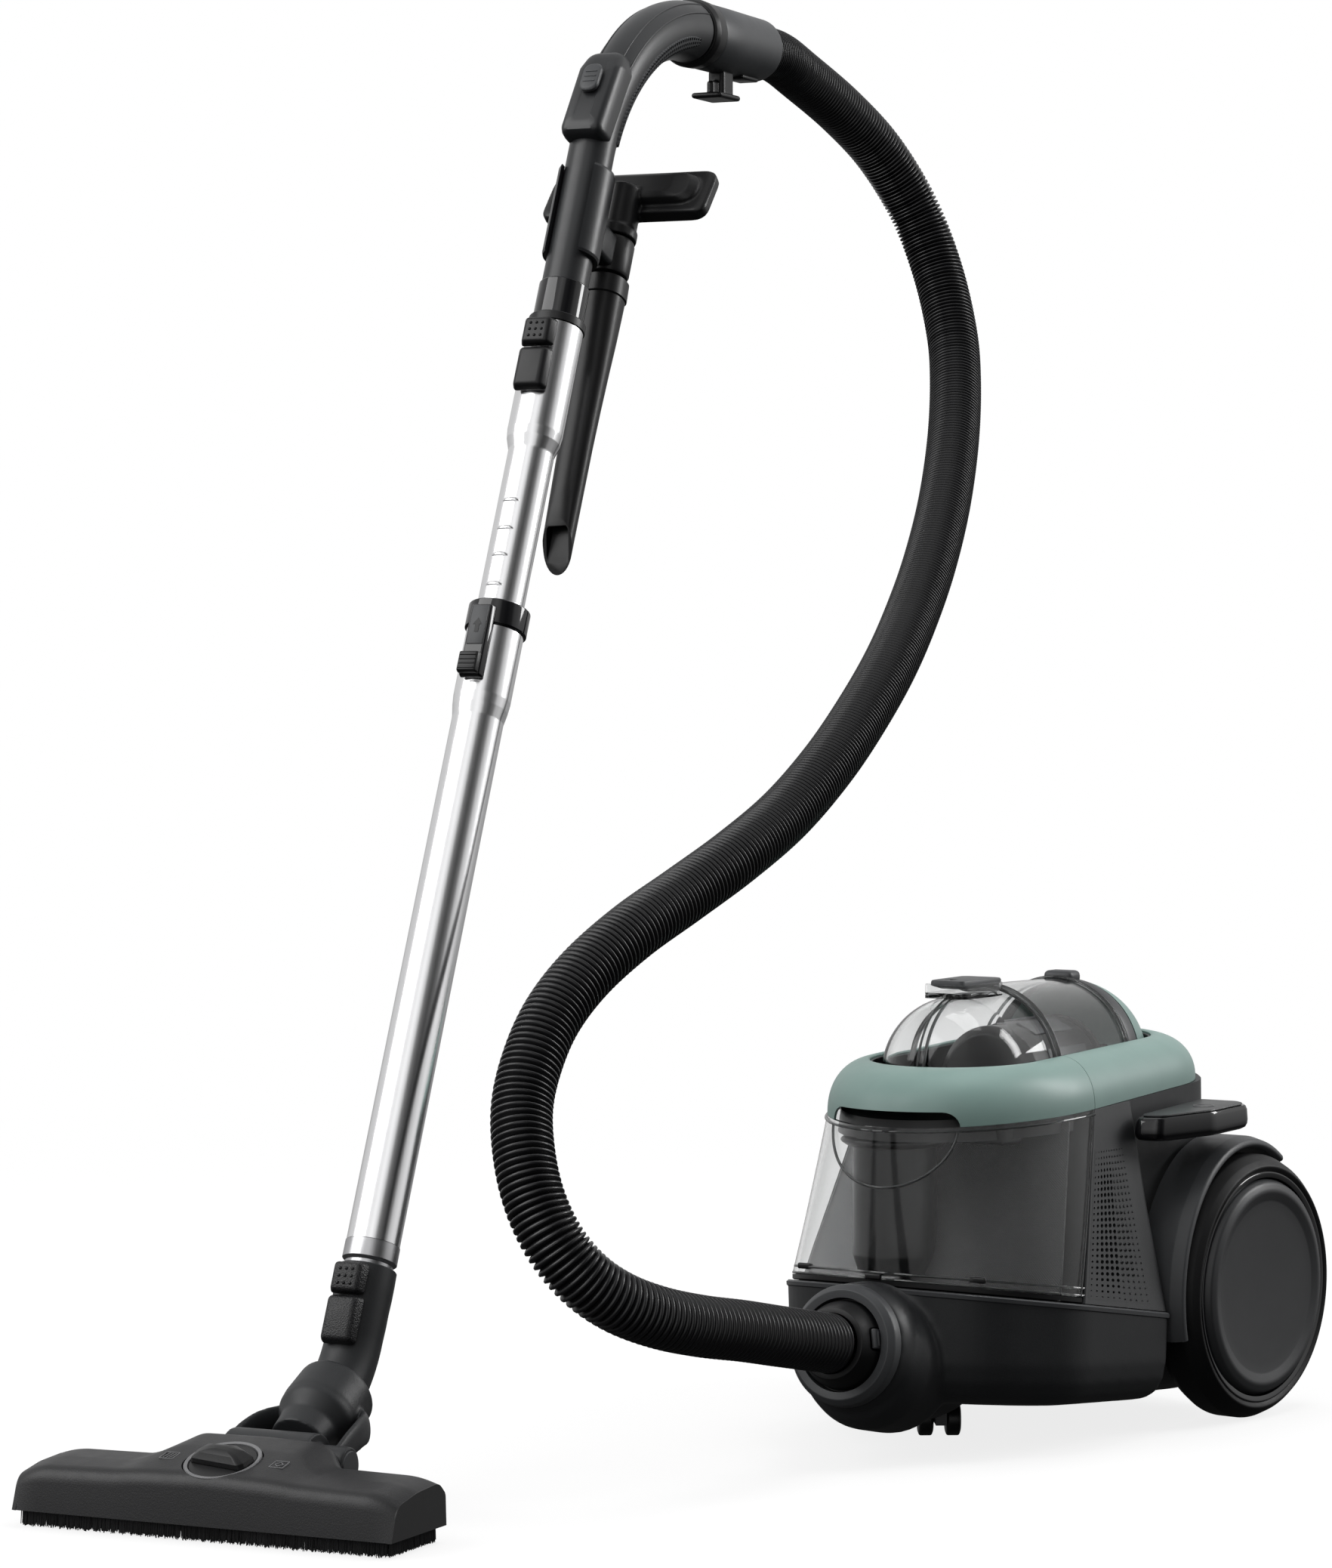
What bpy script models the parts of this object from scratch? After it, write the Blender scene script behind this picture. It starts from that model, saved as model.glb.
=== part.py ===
"""Canister vacuum cleaner with a clear dust bin, hose, telescopic wand and floor nozzle.

Units are metres, +Z up. The canister's front points along -Y. The floor nozzle, neck, wand and
handle share one upright plane, which is turned by WAND_TURN about +Z. Pieces are placed by
parenting to the empties assembly, inlet, caster, nozzle, neck and wand.
"""
import math

import bmesh
import bpy
from mathutils import Matrix, Vector

# ---------------------------------------------------------------- driving dimensions
GAP = 0.0003                      # clearance left between two touching pieces

ASSEMBLY_SHIFT = (0.0939, 0.2693)   # puts the origin under the middle of the whole object

WHEEL_RADIUS = 0.098
WHEEL_CENTRE = (0.105, 0.098)     # y and z of the wheel axis
WHEEL_INNER_X = 0.1155
WHEEL_OUTER_X = 0.1530
WHEEL_TOE = 5.5                   # degrees that each rear wheel turns in towards the front
BODY_STEP_Y = -0.0085             # the sides step in here to make room for the wheels
BELLY_SLOPE = 0.08                # fall of the underside towards the rear
WELL_X = 0.1035                   # half width of the body between the wheels
PEDAL_INNER_X = 0.1060            # clear of the housing when the pedal is down

BIN_BASE = (0.119, -0.095, 0.110)     # half width, ellipse centre y, ellipse length: bin foot
BIN_HEAD = (0.097, -0.060, 0.138)     # the same at the top of the bin
SEAM_BASE_Y = -0.116              # rear face of the bin at its foot
SEAM_HEAD_Y = -0.061              # and at its top
WALL = 0.0025

FRAME_REAR = (0.097, 0.080, 0.090)    # rear end of the top frame
OPENING_HALF = 0.0645             # half width of the opening in the top frame
OPENING_FRONT_Y = -0.088          # centre of the opening's round front end
OPENING_REAR_Y = 0.0755
OPENING_SEAM_Y = -0.051

DOME_RADIUS = 0.0615
DOME_NOSE_RADIUS = 0.0565         # rounded front end of the dome
DOME_AXIS_Z = 0.2635
DOME_FRONT_Y = -0.1430
DOME_HOOP_Y = -0.0510
DOME_REAR_Y = 0.066

INLET_POINT = (0.0, -0.244, 0.084)
INLET_RISE = 10.9                 # degrees that the hose inlet points above level
NOSE_RADIUS = 0.0455
CHIN_RADIUS = 0.050
INLET_RADIUS = 0.0325
TAB_TURN = 78.0                   # degrees of the cuff's release tab from the top

FAN_POINT = (0.044, -0.034, 0.096)
REEL_POINT = (-0.045, 0.040, 0.098)

CASTER_PIVOT = (0.0, -0.112)
CASTER_TRAIL = 0.020
CASTER_RADIUS = 0.0125
CASTER_TURN = 125.0               # degrees about +Z from +X to the direction it trails

NOZZLE_POINT = (-0.1974, -0.7232)
WAND_TURN = 7.5                   # degrees about +Z of the upright plane of nozzle and wand
NOZZLE_HALF = 0.141
NOZZLE_DEPTH = 0.080
PIVOT = (0.098, 0.038)            # tilt axis of the neck: distance behind the front face, height
DIAL_POINT = (0.0, 0.0310, 0.0485)
DIAL_TILT = 18.0                  # degrees that the dial leans back
ROLLER_POINT = (0.0, 0.0600, 0.0050)
NECK_POINT = (0.1695, 0.0655)     # centre of the swivel collar
NECK_RISE = 27.8                  # degrees of the swivel axis above level
WAND_POINT = (0.2287, 0.160)
WAND_LEAN = 23.5                  # degrees that the wand leans back from upright

LOWER_TUBE_RADIUS = 0.0185
INNER_TUBE_RADIUS = 0.0168
HEAD_RADIUS = 0.0206
HANDLE_RADIUS = 0.0172
ARCH_START = 0.850                # along the wand axis, where the handle starts to bend
ARCH_RADIUS = 0.178
SLEEVE_END = 0.128                # level length of the handle past its arch

HOSE_RADIUS = 0.021
HOSE_ROUTE = [
    (-0.3096, 0.1288, 1.0465), (-0.315, 0.170, 1.0458), (-0.319, 0.212, 1.036), (-0.314, 0.270, 1.012),
    (-0.303, 0.313, 0.981), (-0.287, 0.342, 0.936), (-0.268, 0.348, 0.885), (-0.246, 0.333, 0.833),
    (-0.227, 0.306, 0.792), (-0.201, 0.257, 0.742), (-0.172, 0.192, 0.688), (-0.147, 0.126, 0.640),
    (-0.127, 0.064, 0.599), (-0.108, -0.002, 0.560), (-0.095, -0.067, 0.522), (-0.087, -0.128, 0.487),
    (-0.085, -0.190, 0.453), (-0.087, -0.253, 0.425), (-0.094, -0.311, 0.400), (-0.100, -0.367, 0.377),
    (-0.106, -0.415, 0.351), (-0.108, -0.452, 0.324), (-0.105, -0.480, 0.296), (-0.099, -0.501, 0.267),
    (-0.087, -0.516, 0.237), (-0.073, -0.524, 0.208), (-0.057, -0.524, 0.181), (-0.041, -0.514, 0.158),
    (-0.027, -0.494, 0.141), (-0.016, -0.462, 0.128), (-0.009, -0.421, 0.118), (-0.004, -0.377, 0.110),
    (-0.001, -0.333, 0.1012), (0.0, -0.2675, 0.0885),
]
HOSE_POINTS = 48                  # points of the plain hose tube

# ---------------------------------------------------------------- scene and materials


def clear_scene():
    for item in list(bpy.data.objects):
        bpy.data.objects.remove(item, do_unlink=True)


clear_scene()
PARTS = bpy.data.collections.new("canister_vacuum_cleaner")
CUTTERS = bpy.data.collections.new("cutters")
for collection in (PARTS, CUTTERS):
    bpy.context.scene.collection.children.link(collection)


def material(name, colour, roughness, metallic=0.0, alpha=1.0):
    """A Principled material with one colour."""
    made = bpy.data.materials.new(name)
    made.use_nodes = True
    made.diffuse_color = (*colour, alpha)
    shader = made.node_tree.nodes["Principled BSDF"]
    shader.inputs["Base Color"].default_value = (*colour, 1.0)
    shader.inputs["Roughness"].default_value = roughness
    shader.inputs["Metallic"].default_value = metallic
    shader.inputs["Alpha"].default_value = alpha
    return made


DARK = material("dark_plastic", (0.026, 0.027, 0.029), 0.5)
GREY = material("grey_plastic", (0.055, 0.056, 0.058), 0.45)
BLACK = material("black_plastic", (0.012, 0.012, 0.013), 0.4)
GLOSS = material("gloss_black", (0.008, 0.008, 0.009), 0.12)
GREEN = material("green_plastic", (0.216, 0.319, 0.287), 0.4)
CLEAR = material("smoked_clear", (0.35, 0.36, 0.36), 0.08, 0.0, 0.35)
ALUMINIUM = material("aluminium", (0.78, 0.78, 0.79), 0.25, 1.0)
RUBBER = material("soft_rubber", (0.010, 0.010, 0.011), 0.75)
BRISTLE = material("bristle", (0.015, 0.015, 0.016), 0.9)
MESH = material("filter_mesh", (0.09, 0.09, 0.09), 0.7)
STEEL = material("steel", (0.55, 0.55, 0.56), 0.35, 1.0)
WHITE = material("filter_paper", (0.72, 0.72, 0.69), 0.85)


# ---------------------------------------------------------------- frames


def empty(name, parent, location, rotation=(0.0, 0.0, 0.0)):
    frame = bpy.data.objects.new(name, None)
    frame.empty_display_size = 0.03
    frame.parent = parent
    frame.location = location
    frame.rotation_euler = rotation
    PARTS.objects.link(frame)
    return frame


ASSEMBLY = empty("assembly", None, (*ASSEMBLY_SHIFT, 0.0))
INLET = empty("inlet", ASSEMBLY, INLET_POINT, (math.radians(90.0 - INLET_RISE), 0.0, 0.0))
CASTER = empty("caster", ASSEMBLY, (*CASTER_PIVOT, 0.0), (0.0, 0.0, math.radians(CASTER_TURN)))
NOZZLE = empty("nozzle", ASSEMBLY, (*NOZZLE_POINT, 0.0), (0.0, 0.0, math.radians(WAND_TURN)))
NECK = empty("neck", NOZZLE, (0.0, *NECK_POINT), (-math.radians(90.0 - NECK_RISE), 0.0, 0.0))
WAND = empty("wand", NOZZLE, (0.0, *WAND_POINT), (-math.radians(WAND_LEAN), 0.0, 0.0))


# ---------------------------------------------------------------- shape helpers


def place(name, data, finish, parent, location=(0.0, 0.0, 0.0), rotation=(0.0, 0.0, 0.0)):
    """Makes the object for a mesh or curve, with its material, under a frame."""
    made = bpy.data.objects.new(name, data)
    made.parent = parent
    made.location = location
    made.rotation_euler = rotation
    if finish is None:
        CUTTERS.objects.link(made)
        made.hide_render = True
        made.display_type = "WIRE"
    else:
        data.materials.append(finish)
        PARTS.objects.link(made)
    return made


def to_mesh(name, shape):
    """Closes a bmesh into a mesh with outward faces, shaded smooth up to 35 degrees."""
    bmesh.ops.recalc_face_normals(shape, faces=shape.faces)
    mesh = bpy.data.meshes.new(name)
    shape.to_mesh(mesh)
    shape.free()
    mesh.shade_smooth()
    mesh.set_sharp_from_angle(angle=math.radians(35.0))
    return mesh


def bevel(piece, width, segments=2):
    edge = piece.modifiers.new("bevel", "BEVEL")
    edge.width = width
    edge.segments = segments
    edge.limit_method = "ANGLE"
    return piece


def block(name, size, centre, finish, parent, rotation=(0.0, 0.0, 0.0)):
    """A box by its full size and its centre."""
    shape = bmesh.new()
    bmesh.ops.create_cube(shape, size=1.0)
    bmesh.ops.scale(shape, vec=size, verts=shape.verts)
    return place(name, to_mesh(name, shape), finish, parent, centre, rotation)


def rod(name, radius, length, centre, finish, parent, rotation=(0.0, 0.0, 0.0), sides=28, top=None):
    """A cylinder or cone along its own Z, by its centre."""
    shape = bmesh.new()
    bmesh.ops.create_cone(shape, cap_ends=True, segments=sides, radius1=radius,
                          radius2=radius if top is None else top, depth=length)
    return place(name, to_mesh(name, shape), finish, parent, centre, rotation)


def turned(name, profile, finish, parent, location=(0.0, 0.0, 0.0), rotation=(0.0, 0.0, 0.0),
           steps=24, closed=True):
    """Turns a profile of (radius, height) points about Z; outer side top to bottom."""
    mesh = bpy.data.meshes.new(name)
    count = len(profile)
    edges = [(i, i + 1) for i in range(count - 1)]
    if closed:
        edges.append((count - 1, 0))
    mesh.from_pydata([(r, 0.0, z) for r, z in profile], edges, [])
    piece = place(name, mesh, finish, parent, location, rotation)
    screw = piece.modifiers.new("turn", "SCREW")
    screw.steps = steps
    screw.render_steps = steps
    screw.use_merge_vertices = True
    screw.merge_threshold = 0.00005
    return piece


def sleeve_profile(outer, inner):
    """Closed profile of a hollow turned piece: outer side down, inner side back up."""
    return list(outer) + list(reversed(inner))


def loft(name, rings, finish, parent, closed=False):
    """Skins a row of equal rings; the ends are capped, or joined where closed."""
    shape = bmesh.new()
    rows = [[shape.verts.new(point) for point in ring] for ring in rings]
    count = len(rows[0])
    pairs = list(zip(rows, rows[1:]))
    if closed:
        pairs.append((rows[-1], rows[0]))
    for low, high in pairs:
        for i in range(count):
            j = (i + 1) % count
            shape.faces.new((low[i], low[j], high[j], high[i]))
    if not closed:
        shape.faces.new(rows[0])
        shape.faces.new(rows[-1])
    return place(name, to_mesh(name, shape), finish, parent)


def rounded(corners, steps=4):
    """A closed outline with an arc at each corner, given as (x, y, radius)."""
    outline = []
    for i, (x, y, radius) in enumerate(corners):
        corner = Vector((x, y))
        before = Vector(corners[i - 1][:2]) - corner
        after = Vector(corners[(i + 1) % len(corners)][:2]) - corner
        half = before.angle(after) / 2.0
        reach = min(radius / math.tan(half), 0.49 * before.length, 0.49 * after.length)
        radius = reach * math.tan(half)
        start = corner + before.normalized() * reach
        middle = (before.normalized() + after.normalized()).normalized()
        centre = corner + middle * (radius / math.sin(half))
        arm = start - centre
        turn = (corner + after.normalized() * reach - centre).angle_signed(arm)
        for k in range(steps + 1):
            outline.append(centre + Matrix.Rotation(turn * k / steps, 2) @ arm)
    return outline


def slab(name, corners, low, high, finish, parent, steps=3, rotation=(0.0, 0.0, 0.0),
         location=(0.0, 0.0, 0.0)):
    """A flat piece with a rounded outline between two heights."""
    outline = rounded(corners, steps)
    rings = [[(p.x, p.y, z) for p in outline] for z in (low, high)]
    piece = loft(name, rings, finish, parent)
    piece.rotation_euler = rotation
    piece.location = location
    return piece


def combine(piece, tool, operation):
    """Cuts, joins or keeps with another object, which becomes a hidden tool."""
    step = piece.modifiers.new(operation.lower(), "BOOLEAN")
    step.operation = operation
    step.object = tool
    return piece


def cut(piece, *tools):
    for tool in tools:
        combine(piece, tool, "DIFFERENCE")
    return piece


def join(piece, *tools):
    for tool in tools:
        combine(piece, tool, "UNION")
    return piece


def smooth_path(points, count):
    """Even points along a Catmull-Rom curve through the given ones."""
    ends = [2 * points[0] - points[1]] + points + [2 * points[-1] - points[-2]]
    fine = []
    for a, b, c, d in zip(ends, ends[1:], ends[2:], ends[3:]):
        for k in range(12):
            t = k / 12.0
            fine.append(0.5 * (2 * b + (c - a) * t + (2 * a - 5 * b + 4 * c - d) * t * t
                               + (3 * b - a - 3 * c + d) * t ** 3))
    fine.append(points[-1])
    lengths = [0.0]
    for a, b in zip(fine, fine[1:]):
        lengths.append(lengths[-1] + (b - a).length)
    even = []
    k = 0
    for i in range(count):
        target = lengths[-1] * i / (count - 1)
        while k < len(fine) - 2 and lengths[k + 1] < target:
            k += 1
        part = (target - lengths[k]) / (lengths[k + 1] - lengths[k])
        even.append(fine[k].lerp(fine[k + 1], min(part, 1.0)))
    return even


def tube(name, points, radius, finish, parent, resolution=2):
    """A solid round bar along points."""
    curve = bpy.data.curves.new(name, "CURVE")
    curve.dimensions = "3D"
    curve.bevel_depth = radius
    curve.bevel_resolution = resolution
    curve.use_fill_caps = True
    spline = curve.splines.new("POLY")
    spline.points.add(len(points) - 1)
    for spot, point in zip(spline.points, points):
        spot.co = (*point, 1.0)
    return place(name, curve, finish, parent)


def tube_mesh(name, points, radii, finish, parent, sides=20, bore=None):
    """A round tube of changing radius along points in the plane x = 0; bore makes it hollow."""
    rings = []
    count = len(points)
    for outer in (True, False) if bore else (True,):
        order = range(count) if outer else range(count - 1, -1, -1)
        for i in order:
            ahead = points[min(i + 1, count - 1)] - points[max(i - 1, 0)]
            side = Vector((1.0, 0.0, 0.0))
            up = ahead.normalized().cross(side)
            radius = radii[i] if outer else bore
            turns = [2.0 * math.pi * k / sides for k in range(sides)]
            rings.append([points[i] + radius * (math.cos(a) * side + math.sin(a) * up)
                          for a in turns])
    return loft(name, rings, finish, parent, closed=bool(bore))


def mix(a, b, share):
    return a + (b - a) * share


# ---------------------------------------------------------------- canister outlines


def rim_z(y):
    """Height of the parting line between base and upper shell."""
    return 0.089 - 0.16 * y


def frame_z(y):
    """Height of the lower edge of the top frame."""
    return 0.2435 + 0.05 * y


def bin_ring(share, inset=0.0, back=0.0, lift=0.0, count=15):
    """Outline of the bin, from share 0 at its foot to 1 at its top, starting at its rear left."""
    half = mix(BIN_BASE[0], BIN_HEAD[0], share) - inset
    centre = mix(BIN_BASE[1], BIN_HEAD[1], share)
    length = mix(BIN_BASE[2], BIN_HEAD[2], share) - inset
    rear = mix(SEAM_BASE_Y, SEAM_HEAD_Y, share) - back
    limit = math.acos(max(-1.0, min(1.0, (centre - rear) / length)))
    ring = []
    for i in range(count):
        angle = mix(limit, -limit, i / (count - 1))
        x = -half * math.sin(angle)
        y = centre - length * math.cos(angle)
        z = mix(rim_z(y), frame_z(y), share) + lift
        ring.append((x, y, z))
    return ring


def body_ring(share, inset=0.0, lift=0.0, front=None):
    """Outline of the rear housing, from its foot (share 0) to its top (share 1)."""
    seam = mix(SEAM_BASE_Y, SEAM_HEAD_Y, share) + 2 * GAP + inset if front is None else front
    near = mix(0.1188, 0.0968, share) - inset
    wide = mix(0.1310, 0.0985, share) - inset
    well = mix(WELL_X, 0.0975, share) - inset
    tail = mix(0.160, 0.166, share) - inset
    corners = [
        (-near, seam, 0.0015), (near, seam, 0.0015), (wide, BODY_STEP_Y - inset, 0.004),
        (well, BODY_STEP_Y - inset, 0.002), (well, 0.5 * (tail + 0.06), 0.06),
        (0.060, tail, 0.06), (-0.060, tail, 0.06), (-well, 0.5 * (tail + 0.06), 0.06),
        (-well, BODY_STEP_Y - inset, 0.002), (-wide, BODY_STEP_Y - inset, 0.004),
    ]
    ring = []
    for point in rounded(corners, 3):
        z = mix(rim_z(point.y), frame_z(point.y), share) + lift
        ring.append((point.x, point.y, z))
    return ring


def base_ring(inset, height=None, lift=0.0):
    """Outline of the base shell at the rim (height None) or at a level below it."""
    half = 0.1215 - inset
    corners = [
        (-0.072 + inset, -0.2085 + inset, 0.085), (0.072 - inset, -0.2085 + inset, 0.085),
        (half, -0.125, 0.07), (0.1325 - inset, BODY_STEP_Y, 0.004),
        (WELL_X - inset, BODY_STEP_Y, 0.002), (WELL_X - inset, 0.110, 0.06),
        (0.060, 0.162 - inset, 0.06), (-0.060, 0.162 - inset, 0.06), (-WELL_X + inset, 0.110, 0.06),
        (-WELL_X + inset, BODY_STEP_Y, 0.002), (-0.1325 + inset, BODY_STEP_Y, 0.004),
        (-half, -0.125, 0.07),
    ]
    ring = []
    for point in rounded(corners, 4):
        z = rim_z(point.y) if height is None else height - BELLY_SLOPE * (point.y + 0.1)
        ring.append((point.x, point.y, z + lift))
    return ring


# ---------------------------------------------------------------- canister


def make_base():
    rings = [base_ring(0.040, 0.0315), base_ring(0.020, 0.0322), base_ring(0.008, 0.040),
             base_ring(0.002, 0.056), base_ring(0.0, None, -GAP)]
    base = loft("base_shell", rings, DARK, ASSEMBLY)
    nose = turned("nose_tool", [(0.0, 0.0), (0.0425, 0.0), (NOSE_RADIUS, -0.010), (NOSE_RADIUS, -0.110),
                                (0.0, -0.110)], None, INLET, steps=28, closed=False)
    chin = turned("chin_tool", [(0.0, 0.0), (0.036, 0.0), (0.046, -0.007), (CHIN_RADIUS, -0.020),
                                (CHIN_RADIUS, -0.058), (0.040, -0.076), (0.0, -0.080)], None, INLET, (0.0, -0.006, -0.006),
                  steps=28, closed=False)
    join(base, chin, nose)
    hollow = loft("base_hollow", [base_ring(0.026, 0.038), base_ring(0.012, 0.047),
                                  base_ring(0.0035, None, 0.01)], None, ASSEMBLY)
    keep = block("hollow_keep", (0.4, 0.30, 0.3), (0.0, 0.068, 0.1), None, ASSEMBLY)
    combine(hollow, keep, "INTERSECT")
    above = loft("rim_cutter", [base_ring(-0.0005, None, -GAP), base_ring(-0.0005, None, 0.05)],
                 None, ASSEMBLY)
    socket = rod("socket_cutter", INLET_RADIUS, 0.056, (0.0, 0.0, -0.008), None, INLET, sides=30)
    well = rod("caster_well", 0.046, 0.030, (*CASTER_PIVOT, 0.018), None, ASSEMBLY, sides=32)
    pin = rod("caster_bore", 0.0043, 0.034, (*CASTER_PIVOT, 0.040), None, ASSEMBLY, sides=16)
    cut(base, above, hollow, socket, well, pin)


def make_inlet():
    turned("inlet_bezel", sleeve_profile(
        [(0.0400, 0.0105), (0.0425, 0.0060), (0.0425, GAP)],
        [(0.0327, 0.0105), (0.0327, GAP)]), GREY, INLET, steps=32)
    cuff = turned("hose_cuff", sleeve_profile(
        [(0.0232, 0.0235), (0.0262, 0.0225), (0.0305, 0.0120), (0.0318, 0.0060), (0.0318, -0.030)],
        [(0.0190, 0.0235), (0.0190, -0.030)]), BLACK, INLET, steps=32)
    side = math.radians(TAB_TURN)
    spin = (0.0, 0.0, -side)
    spot = Vector((math.sin(side), math.cos(side), 0.0))
    cut(cuff, block("tab_recess", (0.0150, 0.0120, 0.0340), spot * 0.0320 + Vector((0.0, 0.0, 0.006)),
                    None, INLET, spin))
    tab = block("cuff_tab", (0.0140, 0.0028, 0.0250), spot * 0.0300 + Vector((0.0, 0.0, 0.0045)),
                GREY, INLET, spin)
    bevel(tab, 0.0008, 1)


def make_housing():
    foot = body_ring(0.0, lift=GAP)
    waist = body_ring(0.5)
    head = body_ring(1.0, lift=-GAP)
    inner = [body_ring(1.0, 0.004, -GAP), body_ring(0.5, 0.004), body_ring(0.0, 0.004, GAP)]
    loft("rear_housing", [foot, waist, head] + inner, DARK, ASSEMBLY, closed=True)


def make_arch(side, name):
    """A curved mudguard over the front and top of one wheel."""
    y, z = WHEEL_CENTRE
    steps = 16
    rings = []
    for i in range(steps + 1):
        angle = math.radians(mix(-14.0, 118.0, i / steps))
        ring = []
        for x, radius in ((0.1040, 0.1018), (0.1360, 0.1018), (0.1400, 0.1040), (0.1385, 0.1085),
                          (0.1300, 0.1110), (0.1040, 0.1110)):
            ring.append((side * x, y - radius * math.cos(angle), z + radius * math.sin(angle)))
        rings.append(ring)
    loft(name, rings, GREY, ASSEMBLY)


def frame_section(outer, inner, y_outer, y_inner):
    """Cross-section of the top frame from its outer lower edge to the opening and back."""
    low = frame_z(y_outer)
    high = 0.2786 + 0.035 * y_inner
    start = Vector((*outer, low))
    end = Vector((*inner, high))
    section = []
    for k in range(5):
        angle = math.radians(90.0 * k / 4)
        flat = start.lerp(end, 1.0 - math.cos(angle))
        section.append(Vector((flat.x, flat.y, mix(low, high, math.sin(angle)))))
    section.append(end - Vector((0.0, 0.0, 0.010)))
    inward = Vector((end.x - start.x, end.y - start.y, 0.0)).normalized() * 0.0025
    for k in (3, 2, 1):
        section.append(section[k] + inward - Vector((0.0, 0.0, 0.0025)))
    section.append(start + inward)
    return section


def front_frame_rings(count=21):
    half, centre, length = BIN_HEAD
    straight = OPENING_SEAM_Y - OPENING_FRONT_Y
    around = math.pi * OPENING_HALF
    total = 2 * straight + around
    rings = []
    for i in range(count):
        share = i / (count - 1)
        angle = math.radians(mix(-90.0, 90.0, share))
        outer = (half * math.sin(angle), centre - length * math.cos(angle))
        run = share * total
        if run < straight:
            inner = (-OPENING_HALF, OPENING_SEAM_Y - run)
        elif run > straight + around:
            inner = (OPENING_HALF, OPENING_SEAM_Y - (total - run))
        else:
            bend = (run - straight) / OPENING_HALF
            inner = (-OPENING_HALF * math.cos(bend), OPENING_FRONT_Y - OPENING_HALF * math.sin(bend))
        rings.append(frame_section(outer, inner, outer[1], inner[1]))
    return rings


def rear_frame_rings(sides=3, around=14):
    half, centre, length = FRAME_REAR
    rings = []
    for i in range(sides):
        share = i / sides
        y_outer = mix(BIN_HEAD[1] + 2 * GAP, centre, share)
        y_inner = mix(OPENING_SEAM_Y + 2 * GAP, OPENING_REAR_Y, share)
        rings.append(frame_section((half, y_outer), (OPENING_HALF, y_inner), y_outer, y_inner))
    for i in range(around + 1):
        angle = math.radians(180.0 * i / around)
        outer = (half * math.cos(angle), centre + length * math.sin(angle))
        inner = (OPENING_HALF * math.cos(angle), OPENING_REAR_Y + OPENING_HALF * math.sin(angle))
        rings.append(frame_section(outer, inner, outer[1], inner[1]))
    mirrored = [[Vector((-p.x, p.y, p.z)) for p in ring] for ring in reversed(rings[:sides])]
    return rings + mirrored


def make_top_frames():
    front = loft("front_frame", front_frame_rings(), GREEN, ASSEMBLY)
    slot = block("grab_slot", (0.104, 0.06, 0.030), (0.0, -0.190, 0.2300), None, ASSEMBLY)
    bevel(slot, 0.010, 3)
    cut(front, slot)
    loft("rear_frame", rear_frame_rings(), GREEN, ASSEMBLY)


def vault(name, stations, wall, finish, parent, low=-14.0, count=17):
    """A thin arched cover along Y; stations are (y, radius)."""
    rings = []
    for i in range(count):
        angle = math.radians(mix(low, 180.0 - low, i / (count - 1)))
        spin = Vector((math.cos(angle), 0.0, math.sin(angle)))
        axis = Vector((0.0, 0.0, DOME_AXIS_Z))
        outer = [axis + spin * r + Vector((0.0, y, 0.0)) for y, r in stations]
        inner = [axis + spin * max(r - wall, 0.0012) + Vector((0.0, max(y, stations[0][0] + wall), 0.0))
                 for y, r in stations]
        rings.append(outer + inner[::-1])
    return loft(name, rings, finish, parent)


def make_domes():
    centre = DOME_FRONT_Y + DOME_NOSE_RADIUS
    stations = []
    for k in range(8):
        angle = math.radians(mix(4.0, 90.0, k / 7))
        stations.append((centre - DOME_NOSE_RADIUS * math.cos(angle), DOME_NOSE_RADIUS * math.sin(angle)))
    stations.append((DOME_HOOP_Y - GAP, DOME_RADIUS - 0.001))
    front = vault("front_dome", stations, 0.002, CLEAR, ASSEMBLY)
    tray = block("latch_tray", (0.040, 0.054, 0.0035), (0.0, -0.0790, 0.3213), None, ASSEMBLY)
    join(front, tray)
    vault("rear_dome", [(DOME_HOOP_Y + GAP, DOME_RADIUS + 0.0008), (DOME_REAR_Y, DOME_RADIUS - 0.0006)],
          0.002, CLEAR, ASSEMBLY)
    rear = OPENING_REAR_Y + OPENING_HALF - 0.004
    stations = []
    for k in range(6):
        angle = math.radians(mix(90.0, 6.0, k / 5))
        stations.append((DOME_REAR_Y + 2 * GAP + (rear - DOME_REAR_Y - 2 * GAP) * math.cos(angle),
                         0.0605 * math.sin(angle) ** 0.7))
    vault("dome_end_cap", stations, 0.003, GREY, ASSEMBLY)
    slab("dome_latch", [(-0.014, -0.107, 0.006), (0.014, -0.107, 0.006), (0.017, -0.050, 0.006),
                        (-0.017, -0.050, 0.006)], 0.3276, 0.3320, GREY, ASSEMBLY)
    rest = block("latch_stem", (0.016, 0.030, 0.0030), (0.0, -0.080, 0.3266), None, ASSEMBLY)
    join(bpy.data.objects["dome_latch"], rest)


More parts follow.
